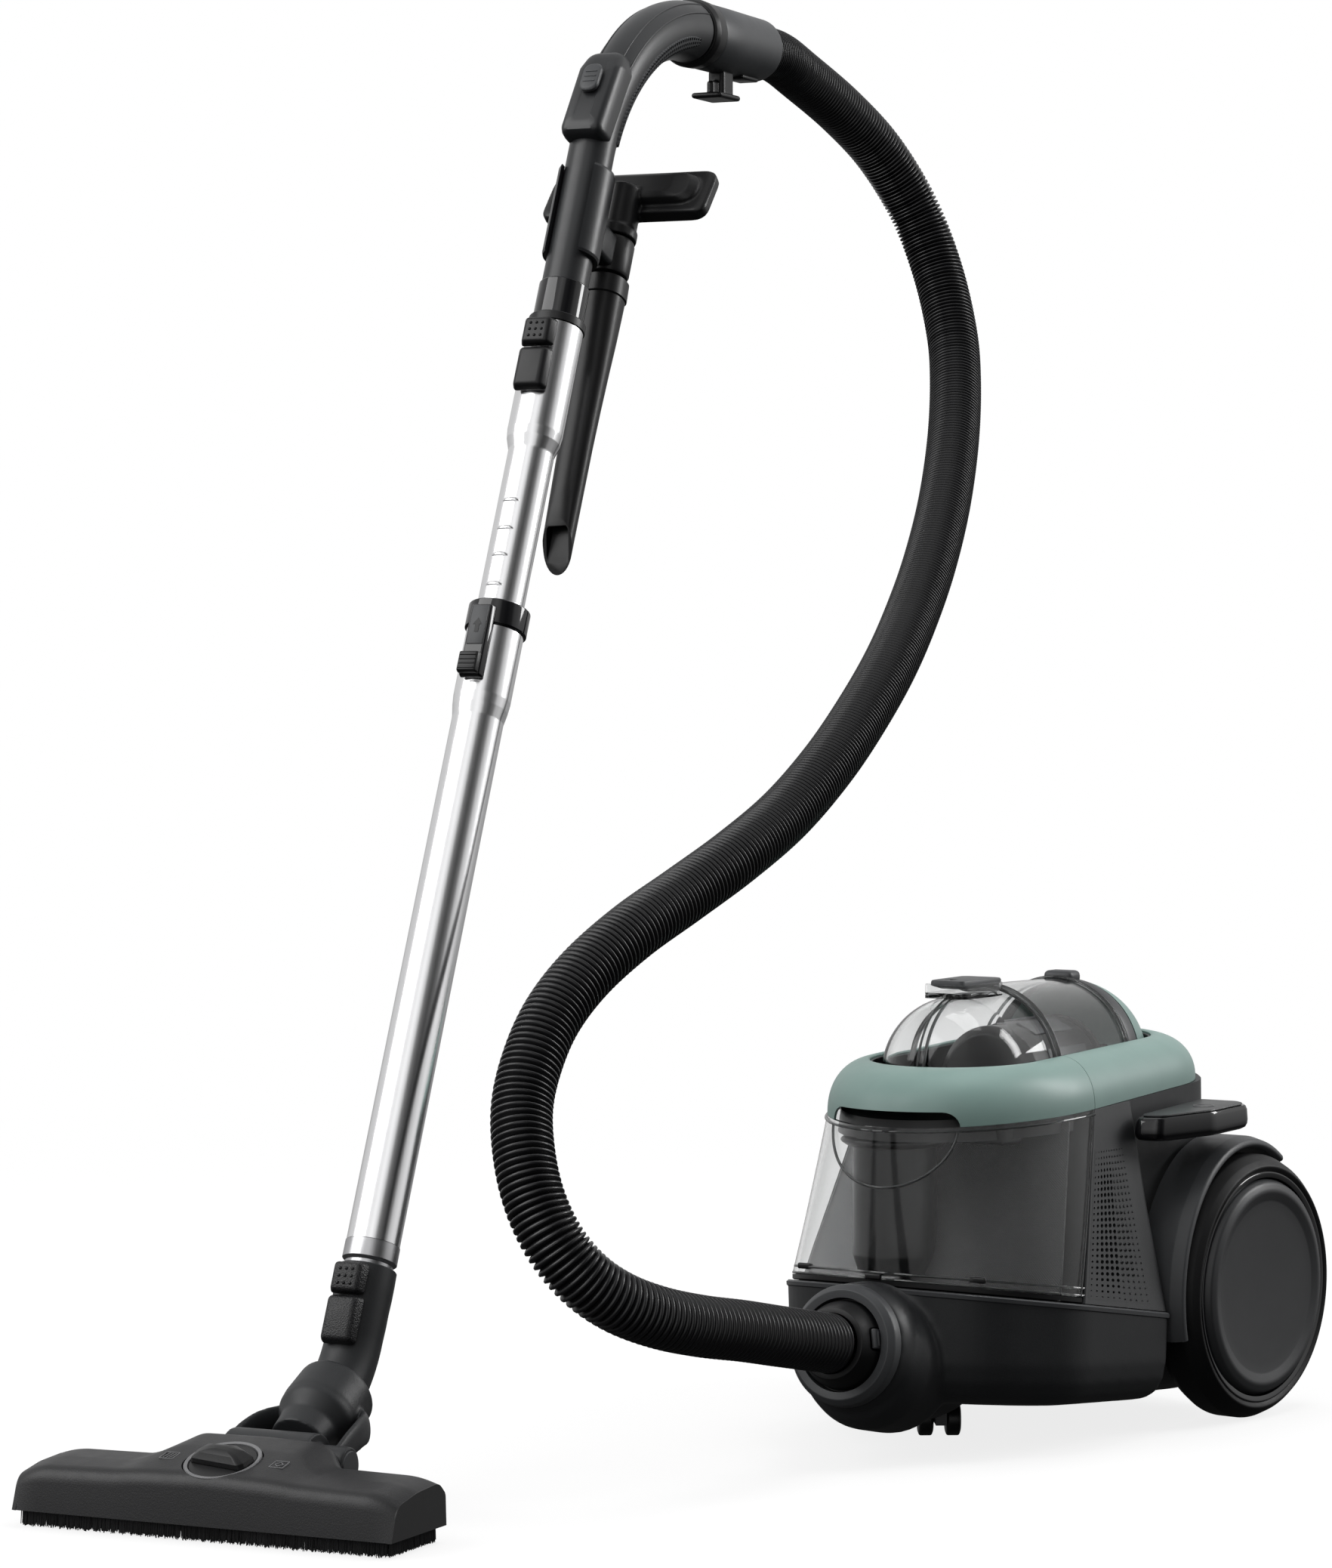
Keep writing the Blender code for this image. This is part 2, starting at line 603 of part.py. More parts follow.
def make_bin():
    wall = [bin_ring(0.0, lift=0.0048), bin_ring(0.5), bin_ring(1.0, lift=-GAP)]
    inner = [bin_ring(1.0, WALL, WALL, -GAP), bin_ring(0.5, WALL, WALL), bin_ring(0.0, WALL, WALL, 0.0048)]
    loft("bin_shell", wall + inner, CLEAR, ASSEMBLY, closed=True)
    floor = [bin_ring(0.0, lift=GAP), bin_ring(0.0, lift=0.0045)]
    loft("bin_floor", floor, BLACK, ASSEMBLY)
    rod("separator_tube", 0.030, 0.106, (-0.018, -0.148, 0.1775), GREY, ASSEMBLY)
    lean = math.atan2(SEAM_HEAD_Y - SEAM_BASE_Y, 0.13)
    block("mesh_screen", (0.080, 0.004, 0.088), (0.052, -0.1085, 0.172), MESH, ASSEMBLY,
          (-lean, 0.0, 0.0))
    level = (math.radians(90.0), 0.0, 0.0)
    rod("cyclone_cylinder", 0.0400, 0.104, (0.0, 0.0060, 0.2560), BLACK, ASSEMBLY, level)
    turned("cyclone_seal", sleeve_profile([(0.0405, 0.0020), (0.0415, 0.0), (0.0405, -0.0020)],
                                          [(0.0350, 0.0020), (0.0350, -0.0020)]),
           RUBBER, ASSEMBLY, (0.0, 0.0604, 0.2560), level)


def make_insides():
    """The motor, its fan and filter, and the cord reel inside the rear housing."""
    level = (math.radians(90.0), 0.0, 0.0)
    turned("motor_can", sleeve_profile(
        [(0.044, 0.045), (0.046, 0.043), (0.046, -0.040), (0.030, -0.052)],
        [(0.012, 0.045), (0.012, -0.052)]), STEEL, ASSEMBLY, (0.044, 0.020, 0.096), level)
    turned("motor_fan", [(0.0, 0.008), (0.012, 0.008), (0.042, 0.004), (0.042, -0.002), (0.0, -0.002)],
           BLACK, ASSEMBLY, FAN_POINT, level, closed=False)
    turned("cord_reel", [(0.0, 0.022), (0.058, 0.022), (0.058, 0.018), (0.030, 0.016), (0.030, -0.016),
                         (0.058, -0.018), (0.058, -0.022), (0.0, -0.022)],
           BLACK, ASSEMBLY, REEL_POINT, (0.0, math.radians(90.0), 0.0), closed=False)
    block("exhaust_filter", (0.090, 0.022, 0.080), (0.0, 0.134, 0.110), WHITE, ASSEMBLY)


def make_wheel(side, name):
    y, z = WHEEL_CENTRE
    turn = (0.0, side * math.radians(90.0), -side * math.radians(WHEEL_TOE))
    middle = 0.5 * (WHEEL_INNER_X + WHEEL_OUTER_X)
    half = 0.5 * (WHEEL_OUTER_X - WHEEL_INNER_X)
    spot = (side * middle, y, z)
    turned("tyre_" + name, sleeve_profile(
        [(0.0860, half), (0.0930, half - 0.003), (0.0970, half - 0.010), (WHEEL_RADIUS, 0.004),
         (0.0970, -half + 0.008), (0.0930, -half)],
        [(0.0820, half - 0.003), (0.0820, -half)]), RUBBER, ASSEMBLY, spot, turn, steps=32)
    turned("hub_" + name, [(0.0, half + 0.004), (0.030, half + 0.0035), (0.060, half + 0.001),
                           (0.0800, half - 0.004), (0.0817, half - 0.008), (0.0817, -half + 0.004),
                           (0.074, -half + 0.003), (0.010, -half + 0.003), (0.010, -half - 0.0108),
                           (0.0, -half - 0.0108)],
           GREY, ASSEMBLY, spot, turn, steps=32, closed=False)


def make_pedal(side, name):
    corners = [(PEDAL_INNER_X, -0.022, 0.006), (0.124, -0.017, 0.010), (0.146, 0.034, 0.020),
               (0.1500, 0.084, 0.010), (0.139, 0.092, 0.010), (PEDAL_INNER_X, 0.092, 0.004)]
    outline = rounded([(side * x, y, r) for x, y, r in corners], 3)
    rings = []
    for z, share in ((0.2160, 0.90), (0.2185, 1.0), (0.2320, 0.985), (0.2350, 0.90)):
        ring = []
        for p in outline:
            x = side * PEDAL_INNER_X + (p.x - side * PEDAL_INNER_X) * share
            ring.append((x, 0.035 + (p.y - 0.035) * share, z + 0.04 * (p.y - 0.026)))
        rings.append(ring)
    loft(name, rings, GLOSS, ASSEMBLY)


def make_caster():
    reach = CASTER_TRAIL
    plate = rod("caster_fork", 0.017, 0.0030, (0.0, 0.0, 0.0300), GREY, CASTER, sides=24)
    arm = block("fork_arm", (0.026, 0.008, 0.021), (0.012, 0.0, 0.0208), None, CASTER)
    axle = rod("fork_axle", 0.0030, 0.028, (reach, 0.0, CASTER_RADIUS), None, CASTER,
               (math.radians(90.0), 0.0, 0.0), 12)
    stem = rod("fork_stem", 0.0040, 0.024, (0.0, 0.0, 0.0425), None, CASTER, sides=16)
    join(plate, arm, axle, stem)
    turn = (math.radians(90.0), 0.0, 0.0)
    spot = (reach, 0.0, CASTER_RADIUS)
    half = 0.0155
    for sign, name in ((1.0, "caster_wheel_a"), (-1.0, "caster_wheel_b")):
        turned(name, sleeve_profile(
            [(0.0105, 0.0055), (CASTER_RADIUS, 0.0035), (CASTER_RADIUS, -0.0035), (0.0105, -0.0055)],
            [(0.0033, 0.0055), (0.0033, -0.0055)]), BLACK, CASTER,
            (spot[0], sign * (half - 0.0055), spot[2]), turn, steps=24)


# ---------------------------------------------------------------- hose and handle


def make_hose():
    points = smooth_path([Vector(p) for p in HOSE_ROUTE], HOSE_POINTS)
    tube("hose", points, HOSE_RADIUS, RUBBER, ASSEMBLY)


def handle_path():
    """Centre line of the handle in the nozzle frame: straight, then arched, then level."""
    lean = math.radians(WAND_LEAN)
    along = Vector((0.0, math.sin(lean), math.cos(lean)))
    foot = Vector((0.0, *WAND_POINT))
    start = foot + along * ARCH_START
    centre = start + Vector((0.0, math.cos(lean), -math.sin(lean))) * ARCH_RADIUS
    arc = []
    for k in range(13):
        angle = mix(math.pi - lean, math.pi / 2, k / 12)
        arc.append(centre + ARCH_RADIUS * Vector((0.0, math.cos(angle), math.sin(angle))))
    return foot, along, arc


def grip_radii(extra):
    """Radius of the grip at each point of the arch: it swells towards the hose."""
    return [mix(HANDLE_RADIUS, 0.0235, (k / 12) ** 1.2) + extra for k in range(13)]


def make_handle():
    foot, along, arc = handle_path()
    low = foot + along * 0.7375
    points = [low, foot + along * 0.80] + arc
    radii = [HANDLE_RADIUS, HANDLE_RADIUS] + grip_radii(0.0)
    tube_mesh("handle_grip", points, radii, DARK, NOZZLE)
    top = arc[-1]
    turned("handle_collar", [(0.0, 0.012), (0.0250, 0.012), (0.0262, 0.008), (0.0262, -0.006),
                             (0.0245, GAP - 0.0080), (0.0, GAP - 0.0080)],
           BLACK, NOZZLE, top + Vector((0.0, 0.0105, 0.0)), (-math.radians(90.0), 0.0, 0.0), closed=False)
    sleeve = turned("handle_sleeve", sleeve_profile(
        [(0.0240, SLEEVE_END), (0.0250, SLEEVE_END - 0.004), (0.0252, 0.060), (0.0252, 0.0230)],
        [(0.0218, SLEEVE_END), (0.0218, 0.0550), (0.0150, 0.0230)]),
        GREY, NOZZLE, top, (-math.radians(90.0), 0.0, 0.0))
    hook = block("hook_arm", (0.012, 0.016, 0.022), (0.0, top.y + 0.062, top.z - 0.033), None, NOZZLE)
    lip = block("hook_lip", (0.018, 0.036, 0.005), (0.0, top.y + 0.050, top.z - 0.0455), None, NOZZLE)
    for tool in (hook, lip):
        bevel(tool, 0.0015, 1)
    join(sleeve, hook, lip)
    make_suction_slider()


def make_suction_slider():
    """The raised housing on the outer side of the handle and the air slide in it."""
    corners = [(-0.0165, 0.856, 0.006), (0.0165, 0.856, 0.006), (0.0165, 0.915, 0.010),
               (0.012, 0.926, 0.006), (-0.012, 0.926, 0.006), (-0.0165, 0.915, 0.010)]
    outline = rounded(corners, 3)
    rings = []
    for depth, share in ((-0.0125, 1.0), (-0.0220, 1.0), (-0.0265, 0.80)):
        ring = []
        for p in outline:
            run = 0.888 + (p.y - 0.888) * share
            ring.append((p.x * share, depth + max(0.0, run - ARCH_START) ** 2 * 2.8, run))
        rings.append(ring)
    housing = loft("slider_housing", rings, BLACK, WAND)
    foot, along, arc = handle_path()
    points = [foot + along * 0.80] + arc
    radii = [HANDLE_RADIUS + GAP] + grip_radii(GAP)
    cut(housing, tube_mesh("grip_space", points, radii, None, NOZZLE))
    pocket = block("slide_pocket", (0.0152, 0.010, 0.038), (0.0, -0.0235, 0.892), None, WAND,
                   (math.radians(-10.0), 0.0, 0.0))
    cut(housing, pocket)
    knob = block("suction_slider", (0.0142, 0.0058, 0.0230), (0.0, -0.02185, 0.8985), GREY, WAND,
                 (math.radians(-10.0), 0.0, 0.0))
    bevel(knob, 0.0012, 1)


# ---------------------------------------------------------------- wand


def latch(name, centre, front, parent, button_length=0.021, pad_length=0.036):
    """A push button with a fixed pad under it, on the front of a tube."""
    pad_centre = centre - 0.5 * (button_length + pad_length) - 0.0010
    for part, length, mid, raised in (("button", button_length, centre, 0.0058),
                                      ("pad", pad_length, pad_centre, 0.0040)):
        shape = bmesh.new()
        bmesh.ops.create_cube(shape, size=1.0)
        bmesh.ops.scale(shape, vec=(0.024, 0.0068, length), verts=shape.verts)
        for vert in shape.verts:
            if vert.co.y < 0.0:
                vert.co.x *= 0.74
                vert.co.z *= 0.90
        piece = place(name + "_" + part, to_mesh(name, shape), BLACK, parent,
                      (0.0, -(front + raised), mid))
        bevel(piece, 0.0016, 2)


def make_wand():
    seat = LOWER_TUBE_RADIUS
    lower = turned("lower_tube", sleeve_profile(
        [(HEAD_RADIUS, 0.4600), (HEAD_RADIUS, 0.4080), (seat, 0.3930), (seat, 0.0060),
         (0.0168, -0.0060), (0.0168, -0.0340)],
        [(0.0174, 0.4600), (0.0174, 0.0100), (0.0155, -0.0040), (0.0155, -0.0340)]),
        ALUMINIUM, WAND, steps=32)
    ring = turned("telescope_ring", sleeve_profile(
        [(0.0212, 0.4790), (0.0222, 0.4770), (0.0222, 0.4604), (0.0212, 0.4603)],
        [(0.0174, 0.4790), (0.0174, 0.4603)]), GLOSS, WAND, steps=32)
    track = block("slide_track", (0.0190, 0.0060, 0.0560), (0.0, -0.0238, 0.4450), GREY, WAND)
    bevel(track, 0.0010, 1)
    cut(ring, block("track_space", (0.0200, 0.0068, 0.0570), (0.0, -0.0238, 0.4450), None, WAND))
    thumb = block("telescope_button", (0.0170, 0.0052, 0.0160), (0.0, -0.0297, 0.4260), BLACK, WAND)
    bevel(thumb, 0.0014, 1)
    upper = turned("upper_tube", sleeve_profile(
        [(HEAD_RADIUS - 0.0004, 0.7020), (HEAD_RADIUS - 0.0004, 0.6160), (0.0168, 0.6030),
         (0.0168, 0.3400)],
        [(0.0156, 0.7020), (0.0156, 0.3400)]), ALUMINIUM, WAND, steps=32)
    turned("upper_ring", sleeve_profile(
        [(0.0206, 0.7085), (0.0212, 0.7075), (0.0212, 0.7023)],
        [(0.0156, 0.7085), (0.0156, 0.7023)]), BLACK, WAND, steps=32)
    turned("gloss_collar", sleeve_profile(
        [(0.0180, 0.7372), (0.0184, 0.7362), (0.0184, 0.7088)],
        [(0.0156, 0.7372), (0.0156, 0.7088)]), GLOSS, WAND, steps=32)
    latch("upper_latch", 0.6885, HEAD_RADIUS, WAND)
    return lower, ring, upper


# ---------------------------------------------------------------- neck and floor nozzle


def elbow_path():
    """Centre line from the tube socket down and round to the swivel collar."""
    lean = math.radians(WAND_LEAN)
    rise = math.radians(NECK_RISE)
    down = Vector((0.0, -math.sin(lean), -math.cos(lean)))
    away = Vector((0.0, -math.cos(rise), -math.sin(rise)))
    foot = Vector((0.0, *WAND_POINT))
    collar = Vector((0.0, *NECK_POINT))
    reach = 0.0895
    corner = foot + down * reach
    tangent = 0.021
    points = [foot + down * 0.0110, foot + down * 0.040]
    for k in range(7):
        share = k / 6
        first = corner - down * tangent * (1.0 - share)
        second = corner + away * tangent * share
        points.append(first.lerp(second, share))
    points.append(collar + away * 0.0095)
    return points


def make_neck():
    path = elbow_path()
    radii = [0.0196, 0.0196] + [0.0194] * 7 + [0.0196]
    elbow = tube_mesh("elbow", path, radii, DARK, NOZZLE)
    cut(elbow, rod("elbow_bore", 0.0171, 0.060, (0.0, 0.0, -0.0050), None, WAND, sides=32))
    latch("lower_latch", -0.0245, 0.0196, WAND)
    collar = turned("neck_yoke", sleeve_profile(
        [(0.0262, 0.0130), (0.0272, 0.0110), (0.0272, -0.0130)],
        [(0.0209, 0.0130), (0.0209, -0.0130)]), DARK, NECK, steps=28)
    stub = rod("neck_stub", 0.0225, 0.034, (0.0, 0.0, -0.0270), None, NECK, sides=32)
    barrel = rod("neck_barrel", 0.0200, 0.064, (0.0, *PIVOT), None, NOZZLE,
                 (0.0, math.radians(90.0), 0.0), 32)
    join(collar, stub, barrel)
    lean = math.atan2(NECK_POINT[1] - PIVOT[1], NECK_POINT[0] - PIVOT[0])
    span = math.hypot(NECK_POINT[1] - PIVOT[1], NECK_POINT[0] - PIVOT[0])
    for side in (-1.0, 1.0):
        tag = "a" if side < 0 else "b"
        arm = block("fork_" + tag, (0.0075, span, 0.013),
                    (side * 0.0355, 0.5 * (PIVOT[0] + NECK_POINT[0]), 0.5 * (PIVOT[1] + NECK_POINT[1])),
                    None, NOZZLE, (lean, 0.0, 0.0))
        bridge = block("bridge_" + tag, (0.0165, 0.016, 0.013), (side * 0.0305, *NECK_POINT), None, NOZZLE,
                       (lean, 0.0, 0.0))
        boss = rod("boss_" + tag, 0.0125, 0.024, (side * 0.0435, *PIVOT), None, NOZZLE,
                   (0.0, math.radians(90.0), 0.0), 24)
        join(collar, arm, bridge, boss)


def nozzle_section(x):
    """Outline of the nozzle body at a distance x from its middle, as (y, z) points."""
    away = abs(x) / NOZZLE_HALF
    hump = 0.5 + 0.5 * math.cos(math.pi * min(1.0, max(0.0, (away - 0.28) / 0.34)))
    end = max(0.0, (away - 0.86) / 0.14)
    front_top = mix(0.0425, 0.0345, away) - 0.006 * end ** 2
    rear_top = mix(0.0400, 0.0600, hump) - 0.002 * away - 0.003 * end ** 2
    depth = mix(0.073, NOZZLE_DEPTH + 0.030, hump)
    crest = mix(depth - 0.008, NOZZLE_DEPTH, hump)
    nose = 0.004 + 0.004 * end ** 2
    return [(0.0, 0.0100), (0.0010, 0.5 * front_top), (nose * 0.6, front_top - 0.002),
            (nose + 0.004, front_top + 0.0015), (mix(0.036, 0.055, hump), mix(front_top, rear_top, 0.80)),
            (crest, rear_top), (depth - 0.001, rear_top - mix(0.008, 0.020, hump)), (depth, 0.0100)]


def make_nozzle():
    stations = [-1.0, -0.95, -0.88, -0.76, -0.62, -0.52, -0.42, -0.32, -0.28, 0.0]
    shares = stations + [-s for s in reversed(stations[:-1])]
    rings = []
    for share in shares:
        x = share * NOZZLE_HALF
        rings.append([(x, y, z) for y, z in nozzle_section(x)])
    body = loft("nozzle_body", rings, BLACK, NOZZLE)
    tilt = math.radians(DIAL_TILT)
    recess = rod("dial_recess", 0.0262, 0.012, DIAL_POINT, None, NOZZLE, (tilt, 0.0, 0.0), 36)
    groove = slab("brush_groove", [(-0.1388, 0.0022, 0.001), (0.1388, 0.0022, 0.001), (0.1388, 0.072, 0.001),
                                   (-0.1388, 0.072, 0.001)], 0.005, 0.0240, None, NOZZLE, 1)
    core = slab("groove_core", [(-0.1310, 0.0100, 0.001), (0.1310, 0.0100, 0.001), (0.1310, 0.090, 0.001),
                                (-0.1310, 0.090, 0.001)], 0.0, 0.0300, None, NOZZLE, 1)
    cut(groove, core)
    mouth = block("mouth", (0.220, 0.0180, 0.024), (0.0, 0.0370, 0.0120), None, NOZZLE)
    channel = rod("channel", 0.0110, 0.070, (0.0, 0.060, 0.0230), None, NOZZLE,
                  (math.radians(90.0), 0.0, 0.0), 20)
    seat = rod("barrel_seat", 0.0208, 0.066, (0.0, *PIVOT), None, NOZZLE, (0.0, math.radians(90.0), 0.0), 32)
    behind = block("seat_open", (0.114, 0.050, 0.060), (0.0, PIVOT[0] + 0.014, 0.058), None, NOZZLE)
    cheeks = rod("cheek_space", 0.0140, 0.114, (0.0, *PIVOT), None, NOZZLE, (0.0, math.radians(90.0), 0.0), 24)
    cut(body, recess, groove, mouth, channel, seat, behind, cheeks)
    dial = turned("dial_knob", [(0.0, 0.0030), (0.0225, 0.0030), (0.0255, 0.0010), (0.0255, -0.0050),
                                (0.0, -0.0050)], GREY, NOZZLE, DIAL_POINT, (tilt, 0.0, 0.0), closed=False)
    raised = Vector(DIAL_POINT) + 0.004 * Vector((0.0, -math.sin(tilt), math.cos(tilt)))
    grip = block("dial_bar", (0.013, 0.044, 0.012), raised, None, NOZZLE, (tilt, 0.0, math.radians(-8.0)))
    bevel(grip, 0.002, 1)
    join(dial, grip)
    sole = block("nozzle_sole", (0.2600, 0.0600, 0.0052), (0.0, 0.0410, 0.0071), GREY, NOZZLE)
    hole = block("sole_mouth", (0.220, 0.0180, 0.020), (0.0, 0.0370, 0.0071), None, NOZZLE)
    notch = block("roller_notch", (0.052, 0.0140, 0.020), (0.0, 0.0600, 0.0071), None, NOZZLE)
    cut(sole, hole, notch)
    strip = slab("brush_strip", [(-0.1380, 0.0030, 0.001), (0.1380, 0.0030, 0.001), (0.1380, 0.0660, 0.001),
                                 (-0.1380, 0.0660, 0.001)], 0.0, 0.0160, BRISTLE, NOZZLE, 1)
    inside = slab("brush_inside", [(-0.1318, 0.0090, 0.001), (0.1318, 0.0090, 0.001), (0.1318, 0.090, 0.001),
                                   (-0.1318, 0.090, 0.001)], -0.01, 0.0300, None, NOZZLE, 1)
    cut(strip, inside)
    turned("nozzle_roller", sleeve_profile([(0.0040, 0.0240), (0.0050, 0.0230), (0.0050, -0.0230),
                                            (0.0040, -0.0240)], [(0.0012, 0.0240), (0.0012, -0.0240)]),
           GREY, NOZZLE, ROLLER_POINT, (0.0, math.radians(90.0), 0.0), steps=18)


# ---------------------------------------------------------------- accessories on the handle tube


def make_accessories():
    """A clip on the back of the handle tube carries a crevice tool and an upholstery tool."""
    hug = turned("accessory_holder", sleeve_profile(
        [(0.0208, 0.8300), (0.0212, 0.8290), (0.0212, 0.7620), (0.0208, 0.7610)],
        [(HANDLE_RADIUS + GAP, 0.8300), (HANDLE_RADIUS + GAP, 0.7610)]), DARK, WAND, steps=32)
    window = block("hug_window", (0.026, 0.030, 0.090), (0.0, -0.0170, 0.7950), None, WAND)
    bracket = block("hug_bracket", (0.022, 0.028, 0.026), (0.0, 0.0320, 0.7915), None, WAND)
    socket = rod("hug_socket", 0.0160, 0.030, (0.0, 0.0600, 0.7915), None, WAND, sides=24)
    cut(hug, window)
    join(hug, bracket, socket)
    crevice = [(0.776, 0.0165, 0.0165), (0.745, 0.0165, 0.0155), (0.700, 0.0150, 0.0120),
               (0.640, 0.0130, 0.0100), (0.560, 0.0120, 0.0085)]
    rings = []
    for run, wide, deep in crevice:
        ring = []
        for k in range(20):
            angle = 2.0 * math.pi * k / 20
            skew = -0.020 * math.sin(angle) if run < 0.6 else 0.0
            ring.append((wide * math.cos(angle), 0.0600 + deep * math.sin(angle) + (0.776 - run) * 0.02,
                         run - GAP * 3 + skew))
        rings.append(ring)
    tool = loft("crevice_tool", rings, BLACK, WAND)
    cut(tool, block("crevice_mouth", (0.018, 0.0110, 0.060), (0.0, 0.0640, 0.5600), None, WAND))
    neck = rod("upholstery_tool", 0.0150, 0.044, (0.0, 0.0600, 0.8290), BLACK, WAND, sides=24)
    head = slab("brush_head", [(-0.068, -0.019, 0.012), (0.068, -0.019, 0.012), (0.068, 0.019, 0.012),
                               (-0.068, 0.019, 0.012)], -0.006, 0.012, None, WAND, 4,
                (math.radians(72.0), 0.0, 0.0), (0.0, 0.0720, 0.8560))
    join(neck, head)


make_base()
make_inlet()
make_housing()
make_arch(1.0, "wheel_arch_left")
make_arch(-1.0, "wheel_arch_right")
make_top_frames()
make_domes()
make_bin()
make_insides()
make_wheel(1.0, "left")
make_wheel(-1.0, "right")
make_pedal(1.0, "power_pedal")
make_pedal(-1.0, "rewind_pedal")
make_caster()
make_hose()
make_handle()
make_wand()
make_neck()
make_nozzle()
make_accessories()
bpy.context.view_layer.update()
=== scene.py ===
"""The looks of a canister vacuum cleaner with hose, telescopic wand and floor nozzle.

Pieces are built in the frames of the CAD part: the canister's ASSEMBLY, its INLET and CASTER, and
the NOZZLE, NECK and WAND, which share one upright plane. Units are metres, +Z up. The canister
and the nozzle face -Y. Each piece rides on the CAD body that carries it.
"""
import math
import random

import bmesh
import bpy
from mathutils import Matrix, Vector


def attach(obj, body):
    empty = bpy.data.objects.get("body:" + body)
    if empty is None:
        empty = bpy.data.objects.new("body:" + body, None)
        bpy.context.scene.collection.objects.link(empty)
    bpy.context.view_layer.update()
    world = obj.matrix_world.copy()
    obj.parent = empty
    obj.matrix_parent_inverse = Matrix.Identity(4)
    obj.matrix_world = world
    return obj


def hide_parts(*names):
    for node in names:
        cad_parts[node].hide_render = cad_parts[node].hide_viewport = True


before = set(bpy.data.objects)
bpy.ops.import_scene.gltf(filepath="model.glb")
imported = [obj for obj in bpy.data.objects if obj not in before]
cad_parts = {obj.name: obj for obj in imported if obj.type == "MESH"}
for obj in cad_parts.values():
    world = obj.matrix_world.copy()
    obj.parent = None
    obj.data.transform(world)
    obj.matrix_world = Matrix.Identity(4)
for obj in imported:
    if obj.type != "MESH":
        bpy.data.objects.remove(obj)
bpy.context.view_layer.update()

# ---------------------------------------------------------------- dimensions shared with the CAD part
GAP = 0.0003
WHEEL_RADIUS = 0.098
WHEEL_CENTRE = (0.105, 0.098)
WHEEL_INNER_X, WHEEL_OUTER_X = 0.1155, 0.153
WHEEL_TOE = 5.5
BELLY_SLOPE = 0.08
BODY_STEP_Y = -0.0085
WELL_X = 0.1035
BIN_BASE = (0.119, -0.095, 0.11)
BIN_HEAD = (0.097, -0.06, 0.138)
SEAM_BASE_Y, SEAM_HEAD_Y = -0.116, -0.061
WALL = 0.0025
FRAME_REAR = (0.097, 0.08, 0.09)
OPENING_HALF = 0.0645
OPENING_FRONT_Y, OPENING_REAR_Y, OPENING_SEAM_Y = -0.088, 0.0755, -0.051
DOME_RADIUS, DOME_NOSE_RADIUS, DOME_AXIS_Z = 0.0615, 0.0565, 0.2635
DOME_FRONT_Y, DOME_HOOP_Y, DOME_REAR_Y = -0.143, -0.051, 0.066
NOZZLE_HALF, NOZZLE_DEPTH = 0.141, 0.08
PIVOT = (0.098, 0.038)
NECK_POINT = (0.1695, 0.0655)
NECK_RISE = 27.8
WAND_POINT = (0.2287, 0.16)
WAND_LEAN = 23.5
ARCH_START, ARCH_RADIUS = 0.85, 0.178
SLEEVE_END = 0.128
HANDLE_RADIUS, HANDLE_END_RADIUS = 0.0172, 0.0235
TAB_TURN = 78.0
SIDES = ((1.0, "left"), (-1.0, "right"))
DIAL_POINT = (0.0, 0.031, 0.0485)
DIAL_TILT = 18.0
PIPE_HEAD, PIPE_SEAT, PIPE_BORE = 0.0206, 0.0185, 0.0174        # radii of the lower tube
UPPER_RADIUS, UPPER_BORE = 0.0168, 0.0156                       # radii of the upper tube
BUTTON_LONG, PAD_LONG = 0.0222, 0.0345                          # lengths of a latch's button and pad
SEPARATOR = (-0.018, -0.148)
HOSE_RADIUS = 0.021
HOSE_ROUTE = [
    (-0.3096, 0.1288, 1.0465), (-0.315, 0.17, 1.0458), (-0.319, 0.212, 1.036), (-0.314, 0.27, 1.012),
    (-0.303, 0.313, 0.981), (-0.287, 0.342, 0.936), (-0.268, 0.348, 0.885), (-0.246, 0.333, 0.833),
    (-0.227, 0.306, 0.792), (-0.201, 0.257, 0.742), (-0.172, 0.192, 0.688), (-0.147, 0.126, 0.64),
    (-0.127, 0.064, 0.599), (-0.108, -0.002, 0.56), (-0.095, -0.067, 0.522), (-0.087, -0.128, 0.487),
    (-0.085, -0.19, 0.453), (-0.087, -0.253, 0.425), (-0.094, -0.311, 0.4), (-0.1, -0.367, 0.377),
    (-0.106, -0.415, 0.351), (-0.108, -0.452, 0.324), (-0.105, -0.48, 0.296), (-0.099, -0.501, 0.267),
    (-0.087, -0.516, 0.237), (-0.073, -0.524, 0.208), (-0.057, -0.524, 0.181), (-0.041, -0.514, 0.158),
    (-0.027, -0.494, 0.141), (-0.016, -0.462, 0.128), (-0.009, -0.421, 0.118), (-0.004, -0.377, 0.11),
    (-0.001, -0.333, 0.1012), (0.0, -0.2675, 0.0885),
]


def turn(axis, degrees):
    return Matrix.Rotation(math.radians(degrees), 4, axis)


def shift(*offset):
    return Matrix.Translation(offset)


ASSEMBLY = shift(0.0939, 0.2693, 0.0)
INLET = ASSEMBLY @ shift(0.0, -0.244, 0.084) @ turn("X", 79.1)
CASTER = ASSEMBLY @ shift(0.0, -0.112, 0.0) @ turn("Z", 125.0)
NOZZLE = ASSEMBLY @ shift(-0.1974, -0.7232, 0.0) @ turn("Z", 7.5)
NECK = NOZZLE @ shift(0.0, *NECK_POINT) @ turn("X", NECK_RISE - 90.0)
WAND = NOZZLE @ shift(0.0, *WAND_POINT) @ turn("X", -WAND_LEAN)
LEVEL = turn("X", 90.0)

# ---------------------------------------------------------------- camera, light and floor
CAMERA_POINT = (1.729, -3.14, 0.57)
CAMERA_HEADING = 33.0             # degrees to the left of +Y
CAMERA_DROP = 1.575               # degrees below level
LENS = 110.98


